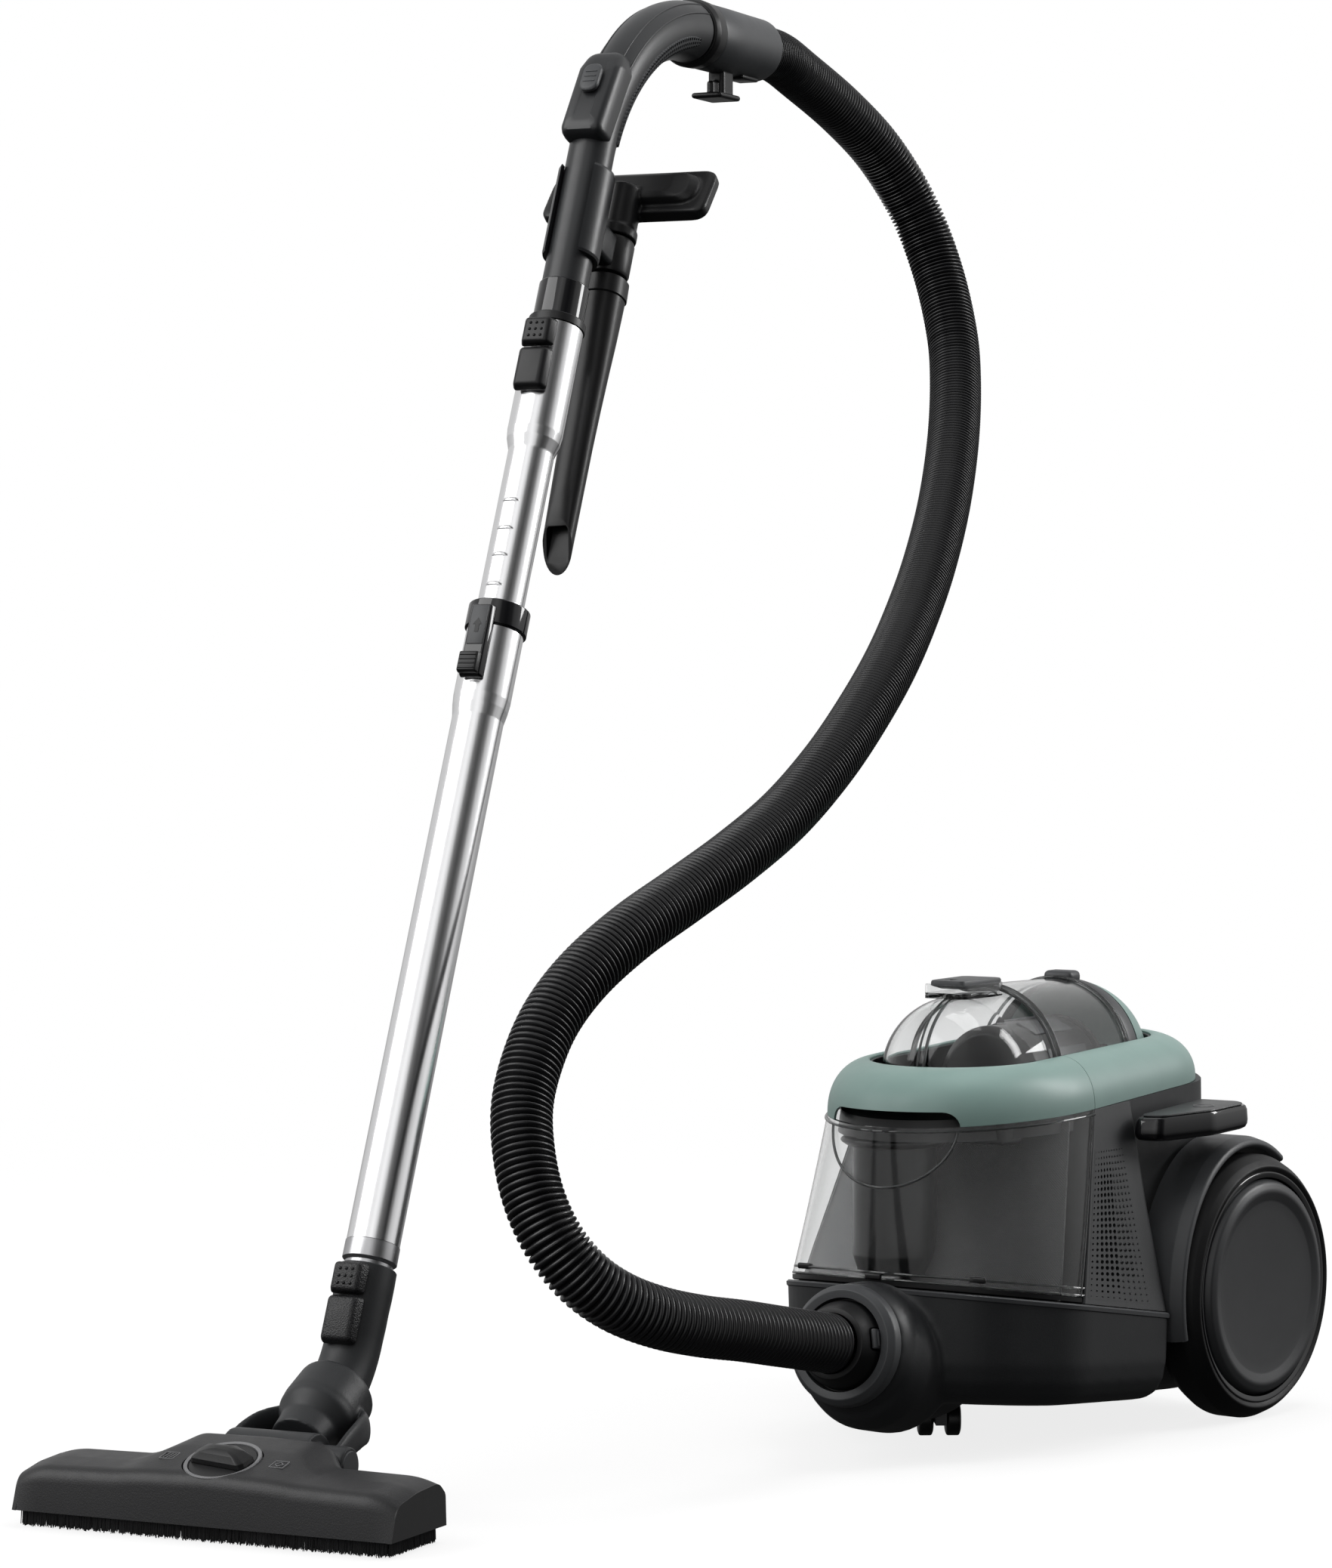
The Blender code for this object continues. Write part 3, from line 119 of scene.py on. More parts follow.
def aimed(spot, ahead):
    """A place at a spot, facing ahead."""
    return shift(*spot) @ ahead.to_track_quat("-Z", "Y").to_matrix().to_4x4()


def make_camera():
    data = bpy.data.cameras.new("camera")
    data.lens = LENS
    data.sensor_width = 36.0
    data.clip_end = 60.0
    made = bpy.data.objects.new("camera", data)
    bpy.context.scene.collection.objects.link(made)
    heading = math.radians(CAMERA_HEADING)
    drop = math.radians(CAMERA_DROP)
    look = Vector((-math.sin(heading) * math.cos(drop), math.cos(heading) * math.cos(drop), -math.sin(drop)))
    made.matrix_world = aimed(ASSEMBLY @ Vector(CAMERA_POINT), look)
    bpy.context.scene.camera = made


def area_light(name, spot, target, size, power, mirrored=True):
    """A soft box; one that is not mirrored lights the object without showing in its gloss."""
    data = bpy.data.lights.new(name, "AREA")
    data.shape = "RECTANGLE"
    data.size, data.size_y = size
    data.energy = power
    made = bpy.data.objects.new(name, data)
    bpy.context.scene.collection.objects.link(made)
    made.matrix_world = aimed(spot, Vector(target) - Vector(spot))
    made.visible_glossy = mirrored


ROOM_STOPS = [
    # share of a turn from -180 degrees, brightness: dark on the camera's right, bright elsewhere
    (0.0, 0.6), (0.2, 0.62), (0.26, 0.8), (0.32, 1.0), (0.36, 0.72), (0.4, 0.13), (0.46, 0.05), (0.505, 0.12),
    (0.545, 0.55), (0.61, 0.85), (0.72, 0.6), (1.0, 0.6),
]
BACKDROP_RADIUS = 30.0
FLOOR_FADE = (0.6, 2.6)            # distances between which the floor turns into pure glow
FLOOR_DROP = 0.0004


def light_room():
    """A soft studio whose wall is darker on the camera's right, which draws the streaks on the metal."""
    world = bpy.data.worlds.new("studio")
    bpy.context.scene.world = world
    world.use_nodes = True
    nodes, links = world.node_tree.nodes, world.node_tree.links
    coords = nodes.new("ShaderNodeTexCoord")
    sweep_round = nodes.new("ShaderNodeTexGradient")
    sweep_round.gradient_type = "RADIAL"
    ramp = nodes.new("ShaderNodeValToRGB")
    ramp.color_ramp.interpolation = "EASE"
    stops = ramp.color_ramp.elements
    while len(stops) > 1:
        stops.remove(stops[-1])
    for k, (share, level) in enumerate(ROOM_STOPS):
        stop = stops[0] if k == 0 else stops.new(share)
        stop.position = share
        stop.color = (level, level, level, 1.0)
    height = nodes.new("ShaderNodeSeparateXYZ")
    fall = nodes.new("ShaderNodeMapRange")
    fall.inputs["From Min"].default_value = -0.35
    fall.inputs["From Max"].default_value = 0.15
    fall.inputs["To Min"].default_value = 0.05
    fall.inputs["To Max"].default_value = 1.0
    links.new(coords.outputs["Generated"], sweep_round.inputs["Vector"])
    links.new(coords.outputs["Generated"], height.inputs["Vector"])
    links.new(height.outputs["Z"], fall.inputs["Value"])
    links.new(sweep_round.outputs["Fac"], ramp.inputs["Fac"])
    links.new(ramp.outputs["Color"], nodes["Background"].inputs["Color"])
    links.new(fall.outputs["Result"], nodes["Background"].inputs["Strength"])
    area_light("key", (-1.9, -2.3, 2.6), (0.0, 0.0, 0.35), (3.0, 3.0), 78.0)
    area_light("top", (0.3, 0.6, 3.2), (0.0, 0.0, 0.4), (2.2, 1.2), 46.0, False)
    area_light("rim", (2.0, 2.2, 1.8), (0.0, 0.0, 0.4), (0.8, 1.6), 40.0)


def white_finish(name, share):
    """Pale paint: part plain glow, part diffuse coat that takes a soft shadow, all glow far from the middle."""
    made = bpy.data.materials.new(name)
    made.use_nodes = True
    nodes, links = made.node_tree.nodes, made.node_tree.links
    shader = nodes["Principled BSDF"]
    shader.inputs["Base Color"].default_value = (*[0.92 * (1.0 - share)] * 3, 1.0)
    shader.inputs["Roughness"].default_value = 0.9
    shader.inputs["Specular IOR Level"].default_value = 0.0
    shader.inputs["Emission Color"].default_value = (1.0, 1.0, 1.0, 1.0)
    shader.inputs["Emission Strength"].default_value = share
    coords = nodes.new("ShaderNodeTexCoord")
    away = nodes.new("ShaderNodeVectorMath")
    away.operation = "LENGTH"
    fade = nodes.new("ShaderNodeMapRange")
    fade.interpolation_type = "SMOOTHSTEP"
    fade.inputs["From Min"].default_value, fade.inputs["From Max"].default_value = FLOOR_FADE
    glow = nodes.new("ShaderNodeEmission")
    blend = nodes.new("ShaderNodeMixShader")
    links.new(coords.outputs["Object"], away.inputs[0])
    links.new(away.outputs["Value"], fade.inputs["Value"])
    links.new(fade.outputs["Result"], blend.inputs["Fac"])
    links.new(shader.outputs["BSDF"], blend.inputs[1])
    links.new(glow.outputs["Emission"], blend.inputs[2])
    links.new(blend.outputs["Shader"], nodes["Material Output"].inputs["Surface"])
    return made


def make_floor():
    """A pale floor under a white dome; both are seen directly and keep out of the reflections."""
    shape = bmesh.new()
    bmesh.ops.create_circle(shape, cap_ends=True, segments=96, radius=BACKDROP_RADIUS)
    for name, made, share in (("floor", shape, 0.82), ("backdrop", ball(64, 32, BACKDROP_RADIUS), 1.0)):
        stand = bpy.data.objects.new(name, mesh_of(made))
        stand.location = (0.0, 0.0, -FLOOR_DROP)
        stand.data.materials.append(white_finish("pale_" + name, share))
        stand.visible_diffuse = False
        stand.visible_glossy = False
        stand.visible_shadow = False
        bpy.context.scene.collection.objects.link(stand)


# ---------------------------------------------------------------- materials


class Surface:
    """A Principled material with its colour, roughness and grain made by nodes in object space."""

    def __init__(self, name, colour, roughness, metallic=0.0, vary=0.06, **sockets):
        self.made = bpy.data.materials.new(name)
        self.made.use_nodes = True
        self.nodes = self.made.node_tree.nodes
        self.links = self.made.node_tree.links
        self.shader = self.nodes["Principled BSDF"]
        self.colour = colour
        self.shader.inputs["Metallic"].default_value = metallic
        for socket, value in sockets.items():
            self.shader.inputs[socket.replace("_", " ")].default_value = value
        self.coords = self.nodes.new("ShaderNodeTexCoord").outputs["Object"]
        self.vary(roughness, vary)

    def noise(self, scale, detail=3.0, stretch=(1.0, 1.0, 1.0)):
        place = self.nodes.new("ShaderNodeMapping")
        place.inputs["Scale"].default_value = [scale * s for s in stretch]
        texture = self.nodes.new("ShaderNodeTexNoise")
        texture.inputs["Scale"].default_value = 1.0
        texture.inputs["Detail"].default_value = detail
        self.links.new(self.coords, place.inputs["Vector"])
        self.links.new(place.outputs["Vector"], texture.inputs["Vector"])
        return texture.outputs["Fac"]

    def span(self, source, low, high):
        """Maps a 0 to 1 value to a range."""
        node = self.nodes.new("ShaderNodeMapRange")
        node.inputs["To Min"].default_value = low
        node.inputs["To Max"].default_value = high
        self.links.new(source, node.inputs["Value"])
        return node.outputs["Result"]

    def vary(self, roughness, amount):
        """Slight unevenness of colour and roughness, as on moulded plastic that has been handled."""
        ramp = self.nodes.new("ShaderNodeValToRGB")
        for stop, gain in zip(ramp.color_ramp.elements, (1.0 - amount, 1.0 + amount)):
            stop.color = (*[c * gain for c in self.colour], 1.0)
        ramp.color_ramp.elements[0].position = 0.3
        ramp.color_ramp.elements[1].position = 0.7
        self.links.new(self.noise(38.0, 4.0), ramp.inputs["Fac"])
        self.links.new(ramp.outputs["Color"], self.shader.inputs["Base Color"])
        rough = self.span(self.noise(110.0, 5.0), roughness * 0.86, roughness * 1.14)
        self.links.new(rough, self.shader.inputs["Roughness"])
        self.tint = ramp.outputs["Color"]

    def bump(self, source, depth, strength=1.0):
        """Adds relief of a depth in metres on top of any there is."""
        node = self.nodes.new("ShaderNodeBump")
        node.inputs["Strength"].default_value = strength
        node.inputs["Distance"].default_value = depth
        self.links.new(source, node.inputs["Height"])
        old = self.shader.inputs["Normal"]
        if old.is_linked:
            self.links.new(old.links[0].from_socket, node.inputs["Normal"])
        self.links.new(node.outputs["Normal"], old)
        return self

    def grain(self, size, depth, stretch=(1.0, 1.0, 1.0)):
        """Fine moulded grain, or drawn lines where stretched."""
        return self.bump(self.noise(1.0 / size, 2.0, stretch), depth)

    def cells(self, size, depth):
        """Leather-like grain of small rounded cells."""
        texture = self.nodes.new("ShaderNodeTexVoronoi")
        texture.inputs["Scale"].default_value = 1.0 / size
        self.links.new(self.coords, texture.inputs["Vector"])
        return self.bump(texture.outputs["Distance"], depth)

    def lattice(self, pitch, depth, darkness=0.0):
        """A fine square weave."""
        split = self.nodes.new("ShaderNodeSeparateXYZ")
        self.links.new(self.coords, split.inputs["Vector"])
        waves = []
        for axis in ("X", "Z"):
            scaled = self.math("MULTIPLY", split.outputs[axis], 2.0 * math.pi / pitch)
            waves.append(self.math("SINE", scaled))
        woven = self.math("MULTIPLY", *waves)
        height = self.span(woven, 0.0, 1.0)
        if darkness:
            mix = self.nodes.new("ShaderNodeMix")
            mix.data_type = "RGBA"
            mix.inputs["B"].default_value = (*[c * (1.0 - darkness) for c in self.colour], 1.0)
            self.links.new(self.tint, mix.inputs["A"])
            self.links.new(height, mix.inputs["Factor"])
            self.links.new(mix.outputs["Result"], self.shader.inputs["Base Color"])
        return self.bump(height, depth)

    def math(self, operation, first, second=None):
        node = self.nodes.new("ShaderNodeMath")
        node.operation = operation
        self.links.new(first, node.inputs[0])
        if isinstance(second, float):
            node.inputs[1].default_value = second
        elif second is not None:
            self.links.new(second, node.inputs[1])
        return node.outputs[0]


def made_of(surface, slot):
    """Names the record's material slot that a finish belongs to."""
    surface.made["slot"] = slot
    return surface.made


def plastic(name, slot, colour, roughness, specular, grain, depth):
    """A moulded plastic with a fine grain of a size and depth in metres."""
    return made_of(Surface(name, colour, roughness, Specular_IOR_Level=specular).grain(grain, depth), slot)


DARK = plastic("satin_charcoal", "dark_plastic", (0.019, 0.02, 0.0215), 0.45, 0.38, 0.0008, 0.00006)
SMOOTH = plastic("smooth_charcoal", "dark_plastic", (0.018, 0.019, 0.0205), 0.33, 0.45, 0.0012, 0.00002)
GREY = plastic("satin_grey", "grey_plastic", (0.044, 0.046, 0.049), 0.42, 0.45, 0.0009, 0.00004)
HUB = plastic("hub_grey", "grey_plastic", (0.028, 0.029, 0.031), 0.38, 0.45, 0.0009, 0.00003)
BLACK = plastic("satin_black", "black_plastic", (0.007, 0.007, 0.0075), 0.36, 0.35, 0.0009, 0.00003)
GRAINED = plastic("grained_black", "black_plastic", (0.011, 0.011, 0.012), 0.42, 0.4, 0.0011, 0.00012)
LEATHERY = made_of(Surface("leathery_black", (0.009, 0.009, 0.01), 0.42, Specular_IOR_Level=0.4)
                   .cells(0.0011, 0.00025), "black_plastic")
GLOSS = made_of(Surface("gloss_black", (0.004, 0.004, 0.005), 0.07, Coat_Weight=0.3, Coat_Roughness=0.03),
                "gloss_black")
GREEN = made_of(Surface("sage_green", (0.205, 0.305, 0.28), 0.4, vary=0.03).grain(0.0012, 0.00002),
                "green_plastic")
RUBBER = plastic("tyre_rubber", "soft_rubber", (0.004, 0.004, 0.0045), 0.5, 0.28, 0.0007, 0.00008)
HOSE = made_of(Surface("hose_plastic", (0.008, 0.008, 0.009), 0.3, vary=0.15, Specular_IOR_Level=0.45)
               .grain(0.001, 0.00003), "hose_plastic")
ALUMINIUM = made_of(Surface("drawn_aluminium", (0.93, 0.93, 0.94), 0.2, 1.0, vary=0.015)
                    .grain(0.0005, 0.000006, (1.0, 1.0, 0.02)), "aluminium")
CLEAR = made_of(Surface("smoked_clear", (0.9, 0.905, 0.905), 0.02, vary=0.01, Transmission_Weight=1.0, IOR=1.3),
                "smoked_clear")
SMOKED = made_of(Surface("smoked_rib", (0.16, 0.165, 0.165), 0.05, vary=0.02, Transmission_Weight=0.85,
                         IOR=1.45),
                 "smoked_clear")
BRISTLE = made_of(Surface("bristle_black", (0.018, 0.018, 0.019), 0.55, vary=0.5), "bristle")
SCREEN = made_of(Surface("filter_mesh", (0.024, 0.0245, 0.025), 0.5).grain(0.0009, 0.0003)
                 .lattice(0.0016, 0.0003, 0.45), "filter_mesh")
STEEL = made_of(Surface("pressed_steel", (0.5, 0.5, 0.51), 0.3, 1.0).grain(0.0006, 0.00002, (1.0, 1.0, 0.05)),
                "steel")
FLEECE = made_of(Surface("filter_fleece", (0.72, 0.72, 0.69), 0.85).lattice(0.004, 0.001, 0.15), "filter_paper")
MARK = made_of(Surface("moulded_mark", (0.16, 0.16, 0.165), 0.45), "grey_plastic")
# Painted shade: a near-black finish with little gloss for the floors of blind holes, standing in for the shade
# inside open vents.
HOLE_SHADE = made_of(Surface("painted_hole_shade", (0.0015, 0.0015, 0.0015), 0.9, Specular_IOR_Level=0.1), "black_plastic")

# ---------------------------------------------------------------- shape helpers


def mix(a, b, share):
    return a + (b - a) * share


def softened(points, closed=True, steps=5):
    """Rounds the corners of an outline; a point is (a, b), or (a, b, radius) for a rounded corner."""
    line = []
    count = len(points)
    for i, point in enumerate(points):
        corner = Vector(point[:2])
        if len(point) < 3 or (not closed and i in (0, count - 1)):
            line.append(corner)
            continue
        before = Vector(points[i - 1][:2]) - corner
        after = Vector(points[(i + 1) % count][:2]) - corner
        half = 0.5 * before.angle(after)
        reach = min(point[2] / math.tan(half), 0.49 * before.length, 0.49 * after.length)
        start = corner + before.normalized() * reach
        end = corner + after.normalized() * reach
        for k in range(steps + 1):
            t = k / steps
            line.append(start.lerp(corner, t).lerp(corner.lerp(end, t), t))
    return line


def loft(rings, closed=False, caps=True):
    """Skins a row of equal rings; closed joins the last ring to the first."""
    shape = bmesh.new()
    rows = [[shape.verts.new(point) for point in ring] for ring in rings]
    count = len(rows[0])
    pairs = list(zip(rows, rows[1:]))
    if closed:
        pairs.append((rows[-1], rows[0]))
    for low, high in pairs:
        for i in range(count):
            j = (i + 1) % count
            shape.faces.new((low[i], low[j], high[j], high[i]))
    if caps and not closed:
        shape.faces.new(rows[0])
        shape.faces.new(rows[-1])
    return shape


def lathe(profile, steps=96):
    """Turns a closed profile of (radius, height) about Z; points on the axis close it."""
    shape = bmesh.new()
    rows = []
    for radius, height in profile:
        if radius < 1e-6:
            rows.append([shape.verts.new((0.0, 0.0, height))])
            continue
        angles = [2.0 * math.pi * k / steps for k in range(steps)]
        rows.append([shape.verts.new((radius * math.cos(a), radius * math.sin(a), height)) for a in angles])
    for low, high in zip(rows, rows[1:] + rows[:1]):
        for k in range(steps):
            j = (k + 1) % steps
            if len(low) == 1 and len(high) == 1:
                break
            if len(low) == 1:
                shape.faces.new((low[0], high[j], high[k]))
            elif len(high) == 1:
                shape.faces.new((low[k], low[j], high[0]))
            else:
                shape.faces.new((low[k], low[j], high[j], high[k]))
    return shape


def ring_profile(outer, inner):
    """A hollow turned piece: rounded outer line down, inner line back up."""
    return list(softened(outer, False)) + list(reversed(softened(inner, False)))


def tube(outer, inner, steps=96):
    return lathe(ring_profile(outer, inner), steps)


def turned(profile, steps=96):
    return lathe(softened(profile, False), steps)


def pad(size, radius, segments=3, taper=None):
    """A block with rounded edges, centred; taper shrinks its -Y face in x and z."""
    shape = bmesh.new()
    bmesh.ops.create_cube(shape, size=1.0)
    bmesh.ops.scale(shape, vec=size, verts=shape.verts)
    if taper:
        for vert in shape.verts:
            if vert.co.y < 0.0:
                vert.co.x *= taper[0]
                vert.co.z *= taper[1]
    bmesh.ops.bevel(shape, geom=shape.edges[:], offset=radius, segments=segments, profile=0.5,
                    affect="EDGES", clamp_overlap=True)
    return shape


def slab(outline, levels):
    """Stacks an outline at levels of (height, scale about the outline's middle)."""
    middle = sum((Vector(p) for p in outline), Vector((0.0, 0.0))) / len(outline)
    rings = []
    for height, share in levels:
        rings.append([(*(middle + (Vector(p) - middle) * share), height) for p in outline])
    return loft(rings)


def box_outline(x0, y0, x1, y1, radius, steps=5):
    corners = ((x0, y0, radius), (x1, y0, radius), (x1, y1, radius), (x0, y1, radius))
    return softened(corners, steps=steps)


def moved(shape, matrix):
    """The same bmesh after a move."""
    bmesh.ops.transform(shape, matrix=matrix, verts=shape.verts)
    return shape


def merged(*shapes):
    """Several bmeshes as one, left as separate bodies."""
    whole = bmesh.new()
    for shape in shapes:
        part = bpy.data.meshes.new("part")
        shape.to_mesh(part)
        shape.free()
        whole.from_mesh(part)
        bpy.data.meshes.remove(part)
    return whole


def smooth_path(points, count):
    """Even points along a Catmull-Rom curve through the given ones."""
    ends = [2 * points[0] - points[1]] + points + [2 * points[-1] - points[-2]]
    fine = []
    for a, b, c, d in zip(ends, ends[1:], ends[2:], ends[3:]):
        for k in range(24):
            t = k / 24.0
            fine.append(0.5 * (2 * b + (c - a) * t + (2 * a - 5 * b + 4 * c - d) * t * t
                               + (3 * b - a - 3 * c + d) * t ** 3))
    fine.append(points[-1])
    lengths = [0.0]
    for a, b in zip(fine, fine[1:]):
        lengths.append(lengths[-1] + (b - a).length)
    even = []
    k = 0
    for i in range(count):
        target = lengths[-1] * i / (count - 1)
        while k < len(fine) - 2 and lengths[k + 1] < target:
            k += 1
        part = (target - lengths[k]) / (lengths[k + 1] - lengths[k])
        even.append(fine[k].lerp(fine[k + 1], min(part, 1.0)))
    return even


def sweep(points, section, side=Vector((1.0, 0.0, 0.0)), closed=False):
    """Carries a section (k -> list of (a, b)) along points, keeping its first axis near side."""
    rings = []
    count = len(points)
    for k in range(count):
        ahead = (points[min(k + 1, count - 1)] - points[max(k - 1, 0)]).normalized()
        across = (side - ahead * side.dot(ahead)).normalized()
        up = ahead.cross(across)
        side = across
        rings.append([points[k] + across * a + up * b for a, b in section(k)])
    return loft(rings, closed)


def ball(across, around, radius):
    shape = bmesh.new()
    bmesh.ops.create_uvsphere(shape, u_segments=across, v_segments=around, radius=radius)
    return shape


def circle(radius, sides=48, squash=1.0):
    turns = [2.0 * math.pi * k / sides for k in range(sides)]
    return [(radius * math.cos(a), radius * squash * math.sin(a)) for a in turns]


def perforated(surface, columns, rows, radius, depth):
    """A sheet of square cells with a blind round hole in each; surface(u, v, depth) places a point.

    radius(u, v) is the hole's share of half a cell; a negative share raises a dot instead.
    """
    shape = bmesh.new()
    corner = {}
    for i in range(columns + 1):
        for j in range(rows + 1):
            corner[i, j] = shape.verts.new(surface(i / columns, j / rows, 0.0))
    edge = [(-1.0, -1.0), (0.0, -1.0), (1.0, -1.0), (1.0, 0.0), (1.0, 1.0), (0.0, 1.0), (-1.0, 1.0),
            (-1.0, 0.0)]
    middles = {}
    for i in range(columns):
        for j in range(rows):
            rim = []
            for a, b in edge:
                key = (2 * i + 1 + int(a), 2 * j + 1 + int(b))
                if a and b:
                    rim.append(corner[key[0] // 2, key[1] // 2])
                else:
                    if key not in middles:
                        middles[key] = shape.verts.new(surface(key[0] / 2 / columns, key[1] / 2 / rows, 0.0))
                    rim.append(middles[key])
            share = radius((i + 0.5) / columns, (j + 0.5) / rows)
            levels = ((0.0, 1.0), (depth, 1.0)) if share > 0 else ((0.0, 1.0), (-0.35 * depth, 0.6))
            low = rim
            for level, narrow in levels:
                hole = []
                for a, b in edge:
                    length = math.hypot(a, b)
                    u = (i + 0.5 + 0.5 * abs(share) * narrow * a / length) / columns
                    v = (j + 0.5 + 0.5 * abs(share) * narrow * b / length) / rows
                    hole.append(shape.verts.new(surface(u, v, level)))
                for k in range(8):
                    m = (k + 1) % 8
                    shape.faces.new((low[k], low[m], hole[m], hole[k]))
                low = hole
            shape.faces.new(low)
    return shape


# ---------------------------------------------------------------- pieces


def place(name, shape, finish, spot, body, nodes=(), sharp=38.0):
    """Makes a piece from a bmesh, riding on a body, in the place of CAD nodes."""
    bmesh.ops.recalc_face_normals(shape, faces=shape.faces)
    mesh = bpy.data.meshes.new(name)
    shape.to_mesh(mesh)
    shape.free()
    mesh.materials.append(finish)
    made = bpy.data.objects.new(name, mesh)
    bpy.context.scene.collection.objects.link(made)
    made.matrix_world = spot
    shade(made, sharp)
    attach(made, body)
    if nodes:
        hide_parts(*nodes)
    return made


def shade(made, sharp=38.0):
    made.data.shade_smooth()
    made.data.set_sharp_from_angle(angle=math.radians(sharp))


def settle(made, sharp=38.0):
    """Applies a piece's modifiers to its mesh."""
    bpy.context.view_layer.update()
    graph = bpy.context.evaluated_depsgraph_get()
    mesh = bpy.data.meshes.new_from_object(made.evaluated_get(graph))
    made.modifiers.clear()
    made.data = mesh
    shade(made, sharp)
    return made


def tool(shape, spot):
    bmesh.ops.recalc_face_normals(shape, faces=shape.faces)
    mesh = bpy.data.meshes.new("tool")
    shape.to_mesh(mesh)
    shape.free()
    made = bpy.data.objects.new("tool", mesh)
    bpy.context.scene.collection.objects.link(made)
    made.matrix_world = spot
    return made


def carve(made, operation, *shapes, sharp=38.0):
    """Cuts or joins a piece with bmeshes given as (shape, spot)."""
    tools = [tool(*pair) for pair in shapes]
    for each in tools:
        step = made.modifiers.new("carve", "BOOLEAN")
        step.operation = operation
        step.object = each
    settle(made, sharp)
    for each in tools:
        bpy.data.objects.remove(each)
    return made


def fused(name, shapes, finish, spot, body, nodes=(), voxel=0.0015, rounds=6, factor=0.5):
    """Several overlapping bmeshes melted into one smooth moulded form."""
    made = place(name, merged(*shapes), finish, spot, body, nodes)
    remesh = made.modifiers.new("melt", "REMESH")
    remesh.mode = "VOXEL"
    remesh.voxel_size = voxel
    relax = made.modifiers.new("relax", "SMOOTH")
    relax.factor = factor
    relax.iterations = rounds
    settle(made, 50.0)
    made.data.materials.clear()
    made.data.materials.append(finish)
    return made


def paint(finish, *nodes):
    """Gives CAD nodes that stay a finer material."""
    for name in nodes:
        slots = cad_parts[name].data.materials
        slots.clear()
        slots.append(finish)


# ---------------------------------------------------------------- hose
RIB_PITCH = 0.0035
RIB_STRETCH = 0.0012              # added to the pitch where the hose is pulled round its lower bend
RIB_DEPTH = 0.0034
RIB_CREST = (0.0, 0.55, 0.96, 1.0, 0.96, 0.55)    # height round one rib, from its valley
HOSE_STEPS, HOSE_SIDES = 400, 32


def make_hose():
    """A corrugated tube whose ribs open up where it is bent over the floor."""
    route = [ASSEMBLY @ Vector(p) for p in HOSE_ROUTE]
    path = smooth_path(route, HOSE_STEPS)
    length = sum((b - a).length for a, b in zip(path, path[1:]))
    runs = []
    run = 0.0
    while run < length:
        share = run / length
        pitch = RIB_PITCH + RIB_STRETCH * min(1.0, max(0.0, (share - 0.55) / 0.2))
        for k in range(len(RIB_CREST)):
            runs.append((run + pitch * k / len(RIB_CREST), k))
        run += pitch
    stops = [min(r, length - 1e-5) for r, k in runs]
    points = []
    for stop in stops:
        spot = stop / length * (len(path) - 1)
        k = min(int(spot), len(path) - 2)
        points.append(path[k].lerp(path[k + 1], spot - k))
    radii = [HOSE_RADIUS - RIB_DEPTH * (1.0 - RIB_CREST[k]) for r, k in runs]
    while stops[-2] >= length - 2e-5:
        stops.pop(), points.pop(), radii.pop()
    shape = sweep(points, lambda k: circle(radii[k], HOSE_SIDES))
    hose = place("hose_skin", shape, HOSE, Matrix.Identity(4), "canister", ["hose"], 80.0)


# ---------------------------------------------------------------- canister outlines


def rim_z(y):
    """Height of the base shell's rim; frame_z is the top frame's lower edge, crown_z its opening."""
    return 0.089 - 0.16 * y


def frame_z(y):
    return 0.2435 + 0.05 * y


def crown_z(y):
    return 0.2786 + 0.035 * y


def bin_sizes(share):
    return (mix(BIN_BASE[0], BIN_HEAD[0], share), mix(BIN_BASE[1], BIN_HEAD[1], share),
            mix(BIN_BASE[2], BIN_HEAD[2], share), mix(SEAM_BASE_Y, SEAM_HEAD_Y, share))


def bin_ring(share, inset=0.0, back=0.0, lift=0.0, count=73):
    """Outline of the bin, from share 0 at its foot to 1 at its top, starting at its rear left."""
    half, centre, length, rear = bin_sizes(share)
    half, length, rear = half - inset, length - inset, rear - back
    limit = math.acos(max(-1.0, min(1.0, (centre - rear) / length)))
    ring = []
    for i in range(count):
        angle = mix(limit, -limit, i / (count - 1))
        y = centre - length * math.cos(angle)
        ring.append((-half * math.sin(angle), y, mix(rim_z(y), frame_z(y), share) + lift))
    return ring


def bin_front(x, z, proud=0.0):
    """A point on the bin's curved front wall at a given x and height."""
    share = 0.5
    for _ in range(6):
        half, centre, length, _rear = bin_sizes(share)
        y = centre - (length + proud) * math.sqrt(max(0.0, 1.0 - (x / (half + proud)) ** 2))
        share = (z - rim_z(y)) / (frame_z(y) - rim_z(y))
    return Vector((x, y, z))


def lifted(points, share, lift):
    """Gives a flat outline its height on the canister."""
    return [(p.x, p.y, mix(rim_z(p.y), frame_z(p.y), share) + lift) for p in points]


def body_ring(share, inset=0.0, lift=0.0):
    """Outline of the rear housing, from its foot (share 0) to its top (share 1)."""
    seam = mix(SEAM_BASE_Y, SEAM_HEAD_Y, share) + 2 * GAP + inset
    near = mix(0.1188, 0.0968, share) - inset
    wide = mix(0.131, 0.0985, share) - inset
    well = mix(WELL_X, 0.0975, share) - inset
    tail = mix(0.16, 0.166, share) - inset
    right = [(near, seam, 0.0015), (wide, BODY_STEP_Y - inset, 0.006), (well, BODY_STEP_Y - inset, 0.002),
             (well, 0.5 * (tail + 0.06), 0.06), (0.06, tail, 0.06)]
    left = [(-x, y, r) for x, y, r in reversed(right)]
    return lifted(softened(right + left), share, lift)


